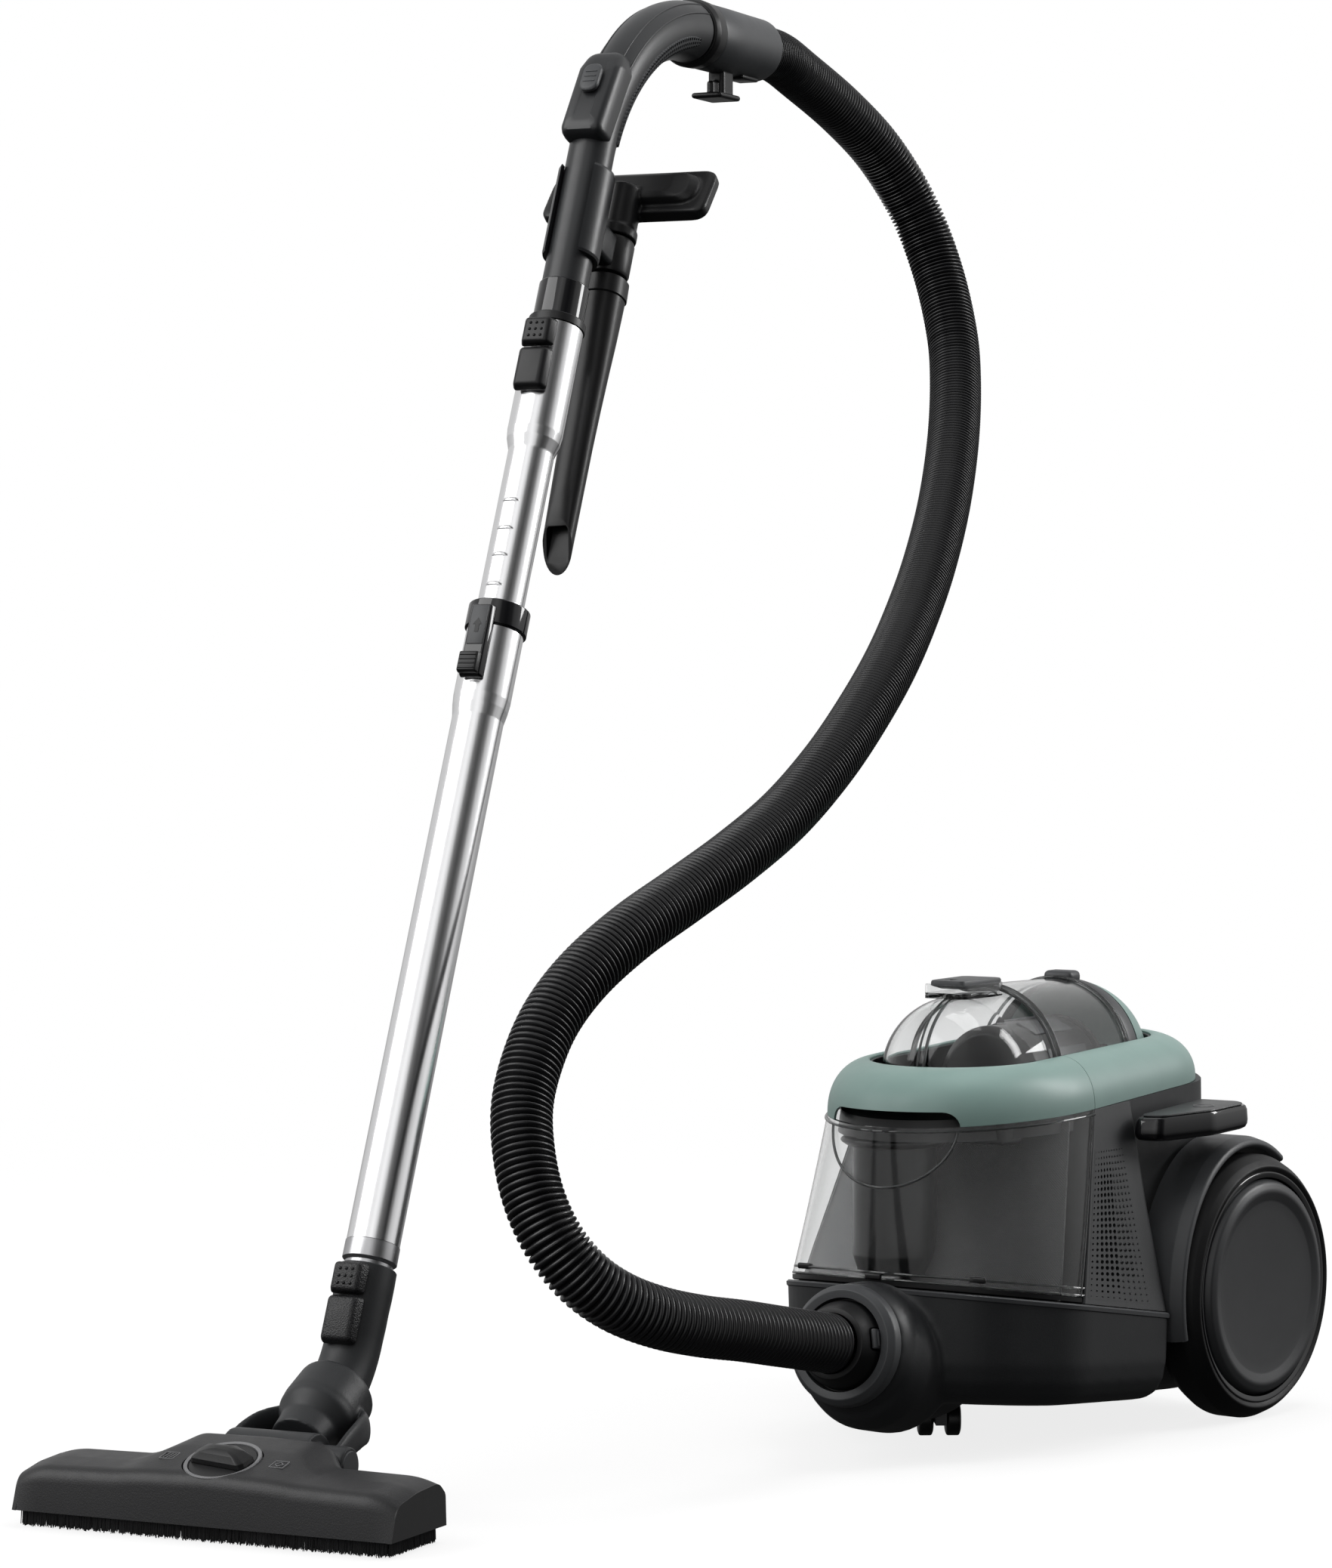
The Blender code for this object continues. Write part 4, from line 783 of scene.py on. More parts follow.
def base_ring(inset, height=None, lift=0.0):
    """Outline of the base shell at the rim (height None) or at a level below it."""
    right = [(0.072 - inset, -0.2085 + inset, 0.085), (0.1215 - inset, -0.125, 0.07),
             (0.1325 - inset, BODY_STEP_Y, 0.005), (WELL_X - inset, BODY_STEP_Y, 0.002),
             (WELL_X - inset, 0.11, 0.06), (0.06, 0.162 - inset, 0.06)]
    left = [(-x, y, r) for x, y, r in reversed(right)]

    def level(y):
        return rim_z(y) if height is None else height - BELLY_SLOPE * (y + 0.1)
    return [(p.x, p.y, level(p.y) + lift) for p in softened(right + left, steps=10)]


# ---------------------------------------------------------------- canister pieces


def make_base():
    """The base shell with its round nose for the inlet, a well for the caster and a raised rim."""
    levels = [(0.046, 0.0312), (0.03, 0.0315), (0.018, 0.034), (0.0095, 0.0395), (0.004, 0.049),
              (0.0015, 0.062)]
    rings = [base_ring(*level) for level in levels] + [base_ring(0.0, None, 0.004)]
    nose = lathe([(0.0, 0.0), (0.0425, 0.0), (0.0435, -0.003), (0.0455, -0.01), (0.047, -0.11), (0.0, -0.11)])
    chin = lathe([(0.0, 0.0), (0.036, 0.0), (0.0455, -0.007), (0.051, -0.022), (0.0515, -0.058),
                  (0.043, -0.074), (0.03, -0.08), (0.0, -0.082)])
    base = fused("base_casing", [loft(rings), moved(nose, ASSEMBLY.inverted() @ INLET),
                                 moved(chin, ASSEMBLY.inverted() @ INLET @ shift(0.0, -0.006, -0.006))],
                 DARK, ASSEMBLY, "canister", ["base_shell"], 0.0022, 10)
    above = loft([base_ring(-0.0008, None, -GAP), base_ring(-0.0008, None, 0.05)])
    front = lathe([(0.0, 0.03), (0.06, 0.03), (0.06, 0.0), (0.0, 0.0)])
    socket = lathe([(0.0, 0.01), (0.0325, 0.01), (0.0325, -0.036), (0.0, -0.036)])
    well = lathe([(0.0, 0.033), (0.046, 0.033), (0.046, 0.0), (0.0, 0.0)])
    carve(base, "DIFFERENCE", (above, ASSEMBLY), (front, INLET), (socket, INLET),
          (well, ASSEMBLY @ shift(0.0, -0.112, 0.0)))
    rim = [base_ring(0.0006, None, -0.0052), base_ring(-0.0007, None, -0.0042),
           base_ring(-0.0009, None, -0.0016), base_ring(0.0004, None, -0.0005), base_ring(0.004, None, -0.0006),
           base_ring(0.004, None, -0.0052)]
    place("base_rim", loft(rim, closed=True), GREY, ASSEMBLY, "canister")


def make_inlet():
    """The bezel of the inlet, the cuff that turns in it and the release tab."""
    bezel = ring_profile([(0.033, 0.0105), (0.0385, 0.0112, 0.0015), (0.0425, 0.007, 0.003), (0.0432, GAP)],
                         [(0.033, 0.0085), (0.0327, GAP)])
    place("inlet_ring", lathe(bezel, 128), GREY, INLET, "canister", ["inlet_bezel"])
    outer = [(0.0222, 0.0235), (0.025, 0.0232, 0.001), (0.0266, 0.02, 0.002), (0.0305, 0.012, 0.006),
             (0.0316, 0.006, 0.004), (0.0316, -0.03)]
    cuff = place("cuff_body", tube(outer, [(0.0214, 0.0235), (0.0205, -0.03)], 96), BLACK, INLET,
                 "hose_cuff", ["hose_cuff"])
    spot = INLET @ turn("Z", -TAB_TURN)
    carve(cuff, "DIFFERENCE", (pad((0.0166, 0.011, 0.0266), 0.0015), spot @ shift(0.0, 0.033, 0.0045)))
    tab = pad((0.014, 0.003, 0.024), 0.0011)
    ribs = [moved(pad((0.0104, 0.0012, 0.002), 0.0005), shift(0.0, 0.0017, z)) for z in (-0.002, 0.0025, 0.007)]
    place("cuff_release", merged(tab, *ribs), GREY, spot @ shift(0.0, 0.03, 0.0045), "cuff_tab", ["cuff_tab"])
    for k in range(3):
        groove = tube([(0.0322, 0.0007), (0.0322, -0.0007)], [(0.0312, 0.0007), (0.0312, -0.0007)])
        place(f"cuff_band_{k}", groove, BLACK, INLET @ shift(0.0, 0.0, 0.0035 - 0.003 * k), "hose_cuff")


DOT_AREA = 2.2e-6                 # the floor of a real hole in the grille is larger than this


def housing_side(side, share_low, share_high, y_front, y_rear):
    """A patch of the housing's side wall: u runs back, v runs up, depth outwards."""
    def surface(u, v, depth):
        share = mix(share_low, share_high, v)
        seam = mix(SEAM_BASE_Y, SEAM_HEAD_Y, share) + 2 * GAP
        y = mix(seam + y_front, BODY_STEP_Y - y_rear, u)
        near, wide = mix(0.1188, 0.0968, share), mix(0.131, 0.0985, share)
        x = mix(near, wide, (y - seam) / (BODY_STEP_Y - seam))
        return Vector((side * (x + depth + 0.00012), y, mix(rim_z(y), frame_z(y), share)))
    return surface


def make_housing():
    """The rear housing with a perforated grille in each side."""
    shares = (0.0, 0.25, 0.5, 0.75, 1.0)
    outer = [body_ring(s, lift=GAP if s == 0.0 else -GAP if s == 1.0 else 0.0) for s in shares]
    inner = [body_ring(s, 0.004, GAP if s == 0.0 else -GAP if s == 1.0 else 0.0) for s in reversed(shares)]
    housing = place("housing_casing", loft(outer + inner, closed=True), DARK, ASSEMBLY, "canister",
                    ["rear_housing"])

    def share(u, v):
        fade = min(1.0, 0.35 + 2.6 * min(v, 1.0 - v) + 0.1) * min(1.0, 0.45 + 2.2 * min(u, 1.0 - u))
        return (0.72 if u < 0.55 else -0.62) * fade

    for side, name in SIDES:
        surface = housing_side(side, 0.03, 0.8, 0.0035, 0.022)
        window = []
        for depth in (0.004, -0.01):
            rim = [surface(0.03 + 0.94 * u / 8, 0.02, depth) for u in range(9)]
            rim += [surface(0.97, v / 8, depth) for v in range(1, 8)]
            rim += [surface(0.03 + 0.94 * u / 8, 0.98, depth) for u in range(8, -1, -1)]
            rim += [surface(0.03, v / 8, depth) for v in range(7, 0, -1)]
            window.append(rim)
        carve(housing, "DIFFERENCE", (loft(window), ASSEMBLY))
        grille = place("grille_" + name, perforated(surface, 11, 25, share, -0.0022), DARK, ASSEMBLY,
                       "canister")
        # The floors of the grille's holes get painted shade.
        paint_shade_in_holes(grille, DOT_AREA)


def paint_shade_in_holes(sheet, least_area=0.0):
    """Paints shade on the eight-sided floors of a perforated sheet's holes with a near-black, glossless finish,
    but not on its raised dots.
    """
    sheet.data.materials.append(HOLE_SHADE)
    for face in sheet.data.polygons:
        if face.loop_total == 8 and face.area > least_area:
            face.material_index = 1


def make_arch(side, name):
    """A smooth mudguard over the front and top of one wheel."""
    y, z = WHEEL_CENTRE
    outline = softened([(0.104, 0.1022), (0.137, 0.1022, 0.0012), (0.1405, 0.1045, 0.0025),
                        (0.139, 0.1085, 0.003), (0.13, 0.111, 0.006), (0.104, 0.1112)])
    rings = []
    for i in range(73):
        angle = math.radians(mix(-16.0, 122.0, i / 72))
        rings.append([(side * x, y - r * math.cos(angle), z + r * math.sin(angle)) for x, r in outline])
    place("mudguard_" + name, loft(rings), GREY, ASSEMBLY, "canister", ["wheel_arch_" + name])


def frame_section(outer, inner):
    """Cross-section of the top frame from its outer lower edge over the shoulder to the opening."""
    start, end = Vector((*outer, frame_z(outer[1]))), Vector((*inner, crown_z(inner[1])))
    section = []
    for k in range(19):
        angle = math.radians(90.0 * k / 18)
        flat = start.lerp(end, (1.0 - math.cos(angle)) ** 1.06)
        section.append(Vector((flat.x, flat.y, mix(start.z, end.z, math.sin(angle) ** 0.94))))
    lip = end - start
    lip.z = 0.0
    lip.normalize()
    section[-1] = end - lip * 0.0012
    section += [end + lip * 0.0003 - Vector((0.0, 0.0, 0.0008)), end + lip * 0.0004 - Vector((0.0, 0.0, 0.01))]
    for k in (15, 12, 9, 6, 3):
        section.append(section[k] + lip * 0.0025 - Vector((0.0, 0.0, 0.0025)))
    section.append(start + lip * 0.0025)
    return section


def make_front_frame():
    """The green front cover, its grab slot and the dark liner behind it."""
    half, centre, length = BIN_HEAD
    straight = OPENING_SEAM_Y - OPENING_FRONT_Y
    around = math.pi * OPENING_HALF
    total = 2 * straight + around
    rings = []
    for i in range(97):
        share = i / 96
        angle = math.radians(mix(-90.0, 90.0, share))
        outer = (half * math.sin(angle), centre - length * math.cos(angle))
        run = share * total
        if run < straight:
            inner = (-OPENING_HALF, OPENING_SEAM_Y - run)
        elif run > straight + around:
            inner = (OPENING_HALF, OPENING_SEAM_Y - (total - run))
        else:
            bend = (run - straight) / OPENING_HALF
            inner = (-OPENING_HALF * math.cos(bend), OPENING_FRONT_Y - OPENING_HALF * math.sin(bend))
        rings.append(frame_section(outer, inner))
    front = place("front_cover", loft(rings), GREEN, ASSEMBLY, "bin", ["front_frame"])
    slot = pad((0.104, 0.06, 0.03), 0.011, 6)
    carve(front, "DIFFERENCE", (slot, ASSEMBLY @ shift(0.0, -0.19, 0.23)))
    liner = [bin_ring(0.9, 0.01, 0.012), bin_ring(1.0, 0.01, 0.012, 0.004), bin_ring(1.0, 0.03, 0.012, 0.01)]
    liner += [bin_ring(1.0, 0.032, 0.014, 0.008), bin_ring(1.0, 0.012, 0.014, 0.002),
              bin_ring(0.9, 0.012, 0.014)]
    place("grab_liner", loft(liner, closed=True), BLACK, ASSEMBLY, "bin")


def make_rear_frame():
    """The green rear cover and the liners of the dome opening."""
    place("opening_liner_rear", opening_liner(False), BLACK, ASSEMBLY, "canister")
    place("opening_liner_front", opening_liner(True), BLACK, ASSEMBLY, "bin")
    half, centre, length = FRAME_REAR
    rings = []
    for i in range(12):
        share = i / 12
        y_outer = mix(BIN_HEAD[1] + 2 * GAP, centre, share)
        y_inner = mix(OPENING_SEAM_Y + 2 * GAP, OPENING_REAR_Y, share)
        rings.append(frame_section((half, y_outer), (OPENING_HALF, y_inner)))
    mirrored = [[Vector((-p.x, p.y, p.z)) for p in ring] for ring in reversed(rings)]
    for i in range(61):
        angle = math.radians(3.0 * i)
        rings.append(frame_section((half * math.cos(angle), centre + length * math.sin(angle)),
                                   (OPENING_HALF * math.cos(angle),
                                    OPENING_REAR_Y + OPENING_HALF * math.sin(angle))))
    place("rear_cover", loft(rings + mirrored), GREEN, ASSEMBLY, "canister", ["rear_frame"])


def opening_liner(front):
    """A black wall down the inner edge of the top frame, on one side of its seam."""
    points = []
    if front:
        points += [(-1.0, OPENING_SEAM_Y - 0.0006)]
        points += [(math.radians(180.0 + 180.0 * k / 40), OPENING_FRONT_Y) for k in range(41)]
        points += [(1.0, OPENING_SEAM_Y - 0.0006)]
    else:
        points += [(1.0, OPENING_SEAM_Y + 0.0012)]
        points += [(math.radians(180.0 * k / 40), OPENING_REAR_Y) for k in range(41)]
        points += [(-1.0, OPENING_SEAM_Y + 0.0012)]
    rings = []
    for k, (spin, y) in enumerate(points):
        end = k in (0, len(points) - 1)
        ring = []
        for inset, drop in ((0.0009, 0.002), (0.0022, 0.0024), (0.0022, 0.02), (0.0009, 0.02)):
            r = OPENING_HALF - inset
            place_x = spin * r if end else r * math.cos(spin)
            place_y = y if end else y + r * math.sin(spin)
            ring.append((place_x, place_y, crown_z(place_y) - drop))
        rings.append(ring)
    return loft(rings)


def vault(stations, wall, low=-14.0, count=73):
    """A thin arched cover along Y; stations are (y, radius)."""
    rings = []
    axis = Vector((0.0, 0.0, DOME_AXIS_Z))
    for i in range(count):
        angle = math.radians(mix(low, 180.0 - low, i / (count - 1)))
        spin = Vector((math.cos(angle), 0.0, math.sin(angle)))
        outer = [axis + spin * r + Vector((0.0, y, 0.0)) for y, r in stations]
        inner = [axis + spin * max(r - wall, 0.0012) + Vector((0.0, max(y, stations[0][0] + wall), 0.0))
                 for y, r in stations]
        rings.append(outer + inner[::-1])
    return loft(rings)


def hoop(y, radius, thick, low=-10.0):
    """An arched bead across a dome."""
    points = []
    for i in range(65):
        angle = math.radians(mix(low, 180.0 - low, i / 64))
        points.append(Vector((radius * math.cos(angle), y, DOME_AXIS_Z + radius * math.sin(angle))))
    return sweep(points, lambda k: circle(thick, 12), Vector((0.0, 1.0, 0.0)))


def make_domes():
    """The clear domes with their beads, the latch in its tray and the cap behind them."""
    centre = DOME_FRONT_Y + DOME_NOSE_RADIUS
    stations = []
    for k in range(25):
        angle = math.radians(mix(3.0, 90.0, k / 24))
        stations.append((centre - DOME_NOSE_RADIUS * math.cos(angle), DOME_NOSE_RADIUS * math.sin(angle)))
    stations.append((DOME_HOOP_Y - GAP, DOME_RADIUS - 0.001))
    place("front_canopy", vault(stations, 0.002), CLEAR, ASSEMBLY, "bin", ["front_dome"])
    rear = [(DOME_HOOP_Y + GAP, DOME_RADIUS + 0.0008), (0.0, DOME_RADIUS + 0.0005),
            (DOME_REAR_Y, DOME_RADIUS - 0.0006)]
    place("rear_canopy", vault(rear, 0.002), CLEAR, ASSEMBLY, "bin", ["rear_dome"])
    beads = [hoop(DOME_HOOP_Y - 0.003, DOME_RADIUS + 0.0006, 0.0013),
             hoop(DOME_HOOP_Y + 0.0022, DOME_RADIUS + 0.0016, 0.0016)]
    place("canopy_hoop", merged(*beads), SMOKED, ASSEMBLY, "bin")
    place("canopy_rear_hoop", hoop(DOME_REAR_Y - 0.006, DOME_RADIUS + 0.0002, 0.0014), SMOKED, ASSEMBLY, "bin")
    for x, thick in ((-0.0028, 0.0009), (0.0024, 0.0012)):
        line = []
        for k in range(40):
            angle = math.radians(mix(-4.0, 90.0, k / 39))
            line.append(Vector((x, centre - (DOME_NOSE_RADIUS + 0.0002) * math.cos(angle),
                                DOME_AXIS_Z + (DOME_NOSE_RADIUS + 0.0002) * math.sin(angle))))
        name = "canopy_weld_a" if x < 0 else "canopy_weld_b"
        place(name, sweep(line, lambda k: circle(thick, 10)), SMOKED, ASSEMBLY, "bin")
    tray = [(-0.0175, -0.1095, 0.006), (0.0175, -0.1095, 0.006), (0.0195, -0.0535, 0.006),
            (-0.0195, -0.0535, 0.006)]
    outline = softened(tray)
    walls = slab(outline, [(0.319, 0.98), (0.319, 1.0), (0.329, 1.0), (0.329, 0.955), (0.323, 0.955),
                           (0.323, 0.9)])
    place("latch_tray", walls, CLEAR, ASSEMBLY, "bin")
    lever_line = softened([(-0.014, -0.107, 0.006), (0.014, -0.107, 0.006), (0.017, -0.05, 0.007),
                           (-0.017, -0.05, 0.007)])
    plate = slab(lever_line, [(0.3256, 0.7), (0.3278, 0.96), (0.3284, 1.0), (0.3306, 1.0), (0.3318, 0.97),
                              (0.3321, 0.9)])
    lever = place("latch_lever", plate, GREY, ASSEMBLY, "bin_latch", ["dome_latch"])
    carve(lever, "DIFFERENCE", (pad((0.007, 0.01, 0.003), 0.0008), ASSEMBLY @ shift(-0.002, -0.095, 0.3326)))
    end = OPENING_REAR_Y + OPENING_HALF - 0.004
    band = [(DOME_REAR_Y + 2 * GAP, 0.0606), (DOME_REAR_Y + 0.003, 0.0612), (DOME_REAR_Y + 0.014, 0.06)]
    place("canopy_band", vault(band, 0.003), GREY, ASSEMBLY, "canister", ["dome_end_cap"])
    stations = []
    for k in range(20):
        angle = math.radians(mix(76.0, 4.0, k / 19))
        stations.append((DOME_REAR_Y + (end - DOME_REAR_Y) * math.cos(angle), 0.0605 * math.sin(angle) ** 0.7))
    place("canopy_cap", vault(stations, 0.003), GREEN, ASSEMBLY, "canister")
    place("canopy_tab", moved(pad((0.024, 0.018, 0.01), 0.004, 4), shift(0.0, 0.07, 0.325)), GREY, ASSEMBLY,
          "canister")


def make_bin():
    """The clear dust bin and what shows inside it."""
    shares = (0.0, 0.2, 0.4, 0.6, 0.8, 1.0)

    def lift(share):
        return mix(0.0048, -GAP, share)
    outer = [bin_ring(s, lift=lift(s)) for s in shares]
    inner = [bin_ring(s, WALL, WALL, lift(s)) for s in reversed(shares)]
    place("bin_casing", loft(outer + inner, closed=True), CLEAR, ASSEMBLY, "bin", ["bin_shell"])
    foot = [bin_ring(0.0, 0.0012, 0.001, GAP), bin_ring(0.0, 0.0, 0.0, 0.001), bin_ring(0.0, 0.0, 0.0, 0.0042),
            bin_ring(0.0, 0.003, 0.002, 0.0046)]
    place("bin_bottom", loft(foot), BLACK, ASSEMBLY, "bin", ["bin_floor"])
    for k, (share, proud) in enumerate(((0.045, 0.0006), (0.085, 0.0004), (0.975, 0.0006))):
        ring = [Vector(p) for p in bin_ring(share, -proud, 0.0)]
        bead = sweep(ring, lambda i: circle(0.0009, 8), Vector((0.0, 0.0, 1.0)))
        place(f"bin_bead_{k}", bead, SMOKED, ASSEMBLY, "bin")
    for side, name in SIDES:
        edge = []
        for k in range(12):
            half, centre, length, rear = bin_sizes(k / 11)
            across = math.sqrt(max(0.0, 1.0 - ((centre - rear) / length) ** 2))
            x = half * (across if rear < centre else 1.0)
            edge.append(Vector((side * (x - 0.0012), rear - 0.0012, mix(rim_z(rear), frame_z(rear), k / 11)
                                + mix(0.005, -0.001, k / 11))))
        place("bin_edge_" + name, sweep(edge, lambda i: circle(0.0016, 12)), SMOKED, ASSEMBLY, "bin")
    lip = []
    for k in range(49):
        angle = math.pi * k / 48
        lip.append(bin_front(0.051 * math.cos(angle), 0.232 - 0.041 * math.sin(angle), 0.0006))
    place("bin_lip", sweep(lip, lambda i: circle(0.0011, 10), Vector((0.0, 1.0, 0.0))), SMOKED, ASSEMBLY, "bin")
    for k, x in enumerate((-0.072, -0.002, 0.07)):
        spot = bin_front(x, 0.1275, 0.001)
        clip = pad((0.013, 0.0035, 0.0042), 0.0012)
        place(f"bin_clip_{k}", clip, BLACK, ASSEMBLY @ shift(spot.x, spot.y, spot.z + 0.001), "bin")
    flap = pad((0.046, 0.024, 0.02), 0.003, 3, (0.9, 0.9))
    place("bin_flap", flap, BLACK, ASSEMBLY @ shift(0.05, -0.136, 0.229), "bin")
    tall = [(0.0, 0.053), (0.03, 0.053, 0.002), (0.03, -0.04, 0.01), (0.026, -0.053), (0.0, -0.053)]
    place("separator_column", turned(tall), BLACK, ASSEMBLY @ shift(*SEPARATOR, 0.1775), "bin",
          ["separator_tube"])
    duct = ring_profile([(0.034, 0.004), (0.04, 0.0, 0.004), (0.034, -0.004)],
                        [(0.029, 0.004), (0.029, -0.004)])
    place("separator_collar", lathe(duct), BLACK, ASSEMBLY @ shift(*SEPARATOR, 0.22), "bin")
    drum = [(0.0, 0.052), (0.034, 0.052, 0.004), (0.04, 0.046, 0.002), (0.04, -0.046, 0.002), (0.036, -0.052),
            (0.0, -0.052)]
    level = ASSEMBLY @ shift(0.0, 0.006, 0.256) @ LEVEL
    place("cyclone_drum", turned(drum), BLACK, level, "bin", ["cyclone_cylinder"])
    for k, angle in enumerate((20.0, 65.0, 110.0, 155.0)):
        spot = level @ turn("Z", angle) @ shift(0.0395, 0.0, -0.004) @ turn("Z", 90.0)
        place(f"cyclone_window_{k}", pad((0.018, 0.0022, 0.058), 0.0008), GREY, spot, "bin")
    panel = []
    for share in (0.03, 0.25, 0.5, 0.75, 0.95):
        ring = []
        half, centre, length, rear = bin_sizes(share)
        for depth in (0.0, 0.0015):
            row = []
            for k in range(25):
                x = mix(-0.012, half - 0.008, k / 24)
                y = rear - 0.012 - 0.03 * math.sqrt(max(0.0, 1.0 - (x / half) ** 2)) + depth
                row.append((x, y, mix(rim_z(rear), frame_z(rear), share)))
            ring += row if depth == 0.0 else row[::-1]
        panel.append(ring)
    place("screen_panel", loft(panel), SCREEN, ASSEMBLY, "bin", ["mesh_screen"])
    paint(RUBBER, "cyclone_seal")
    paint(STEEL, "motor_can")
    paint(BLACK, "motor_fan", "cord_reel")
    paint(FLEECE, "exhaust_filter")


def make_wheel(side, name):
    """A tyre, its hub cap and the bright ring between them."""
    body = "wheel_" + name
    middle = side * 0.5 * (WHEEL_INNER_X + WHEEL_OUTER_X)
    spot = ASSEMBLY @ shift(middle, *WHEEL_CENTRE) @ turn("Z", -side * WHEEL_TOE) @ turn("Y", side * 90.0)
    half = 0.5 * (WHEEL_OUTER_X - WHEEL_INNER_X)
    outer = [(0.0862, half - 0.001), (0.0895, half + 0.0006, 0.002), (0.094, half - 0.004, 0.006),
             (WHEEL_RADIUS, half - 0.012, 0.006), (WHEEL_RADIUS, -half + 0.008, 0.006), (0.093, -half)]
    place("tyre_skin_" + name, tube(outer, [(0.0835, half - 0.003), (0.082, -half)], 160), RUBBER, spot,
          body, ["tyre_" + name])
    cap = [(0.0, half + 0.001), (0.056, half + 0.001), (0.064, half + 0.0018, 0.008),
           (0.0715, half + 0.0042, 0.006), (0.0775, half + 0.002, 0.004), (0.08, half - 0.003, 0.002),
           (0.0806, half - 0.01), (0.0806, -half + 0.004), (0.01, -half + 0.003),
           (0.01, -half - 0.0108), (0.0, -half - 0.0108)]
    place("hub_cap_" + name, turned(cap, 160), HUB, spot, body, ["hub_" + name])
    ring = ring_profile([(0.0812, half - 0.0012), (0.0858, half - 0.0002, 0.0015), (0.086, half - 0.006)],
                        [(0.0808, half - 0.003), (0.0808, half - 0.006)])
    place("hub_ring_" + name, lathe(ring, 160), GLOSS, spot, body)


def make_pedal(side, body):
    """A gloss pedal with a satin tread plate and a ring mark."""
    corners = [(0.106, -0.022, 0.008), (0.126, -0.016, 0.012), (0.146, 0.034, 0.03), (0.15, 0.084, 0.012),
               (0.139, 0.092, 0.01), (0.106, 0.092, 0.003)]
    outline = softened([(side * x, y, r) for x, y, r in corners], steps=8)

    def levels(profile):
        shape = slab(outline, profile)
        for vert in shape.verts:
            vert.co.z += 0.04 * (vert.co.y - 0.035)
        return shape
    place(body + "_skirt", levels([(0.216, 0.86), (0.2172, 0.95), (0.2195, 0.99), (0.2225, 1.0), (0.23, 0.985),
                                   (0.2325, 0.955), (0.2333, 0.93)]), GLOSS, ASSEMBLY, body, [body])
    place(body + "_tread", levels([(0.2333, 0.7), (0.2334, 0.86), (0.2342, 0.885), (0.235, 0.87),
                                   (0.2352, 0.8)]),
          SMOOTH, ASSEMBLY, body)
    mark = tube([(0.0078, 0.0003), (0.0078, 0.0)], [(0.0071, 0.0003), (0.0071, 0.0)], 64)
    place(body + "_mark", mark, MARK, ASSEMBLY @ shift(side * 0.129, 0.05, 0.2359), body)


def make_caster():
    paint(GREY, "caster_fork")
    roll = ring_profile([(0.0095, 0.0055), (0.0125, 0.0045, 0.002), (0.0125, -0.0045, 0.002),
                         (0.0095, -0.0055)],
                        [(0.0033, 0.0055), (0.0033, -0.0055)])
    for sign, name in ((1.0, "a"), (-1.0, "b")):
        place("caster_roll_" + name, lathe(roll), BLACK, CASTER @ shift(0.02, sign * 0.01, 0.0125) @ LEVEL,
              "caster_wheels", ["caster_wheel_" + name])


# ---------------------------------------------------------------- handle


def arch_frame():
    """The handle in the nozzle frame: its lean, foot and direction, and the centre of its arch."""
    lean = math.radians(WAND_LEAN)
    along = Vector((0.0, math.sin(lean), math.cos(lean)))
    foot = Vector((0.0, *WAND_POINT))
    centre = foot + along * ARCH_START + Vector((0.0, math.cos(lean), -math.sin(lean))) * ARCH_RADIUS
    return lean, foot, along, centre


def grip_radius(run):
    return mix(HANDLE_RADIUS, HANDLE_END_RADIUS, max(run, 0.0) ** 1.2)


def handle_path(count=49):
    """Centre line of the handle: foot, direction and the points of its arch."""
    lean, foot, along, centre = arch_frame()
    arc = []
    for k in range(count):
        angle = mix(math.pi - lean, math.pi / 2, k / (count - 1))
        arc.append(centre + ARCH_RADIUS * Vector((0.0, math.cos(angle), math.sin(angle))))
    return foot, along, arc


def arch_point(run, angle, proud=0.0):
    """A point on the grip: run 0 to 1 along the arch, angle 0 on its outer side, 180 on its inner side."""
    lean, _foot, _along, centre = arch_frame()
    turned = mix(math.pi - lean, math.pi / 2, run)
    out = Vector((0.0, math.cos(turned), math.sin(turned)))
    radius = grip_radius(run) + proud
    a = math.radians(angle)
    return centre + out * (ARCH_RADIUS + radius * math.cos(a)) + Vector((radius * math.sin(a), 0.0, 0.0))


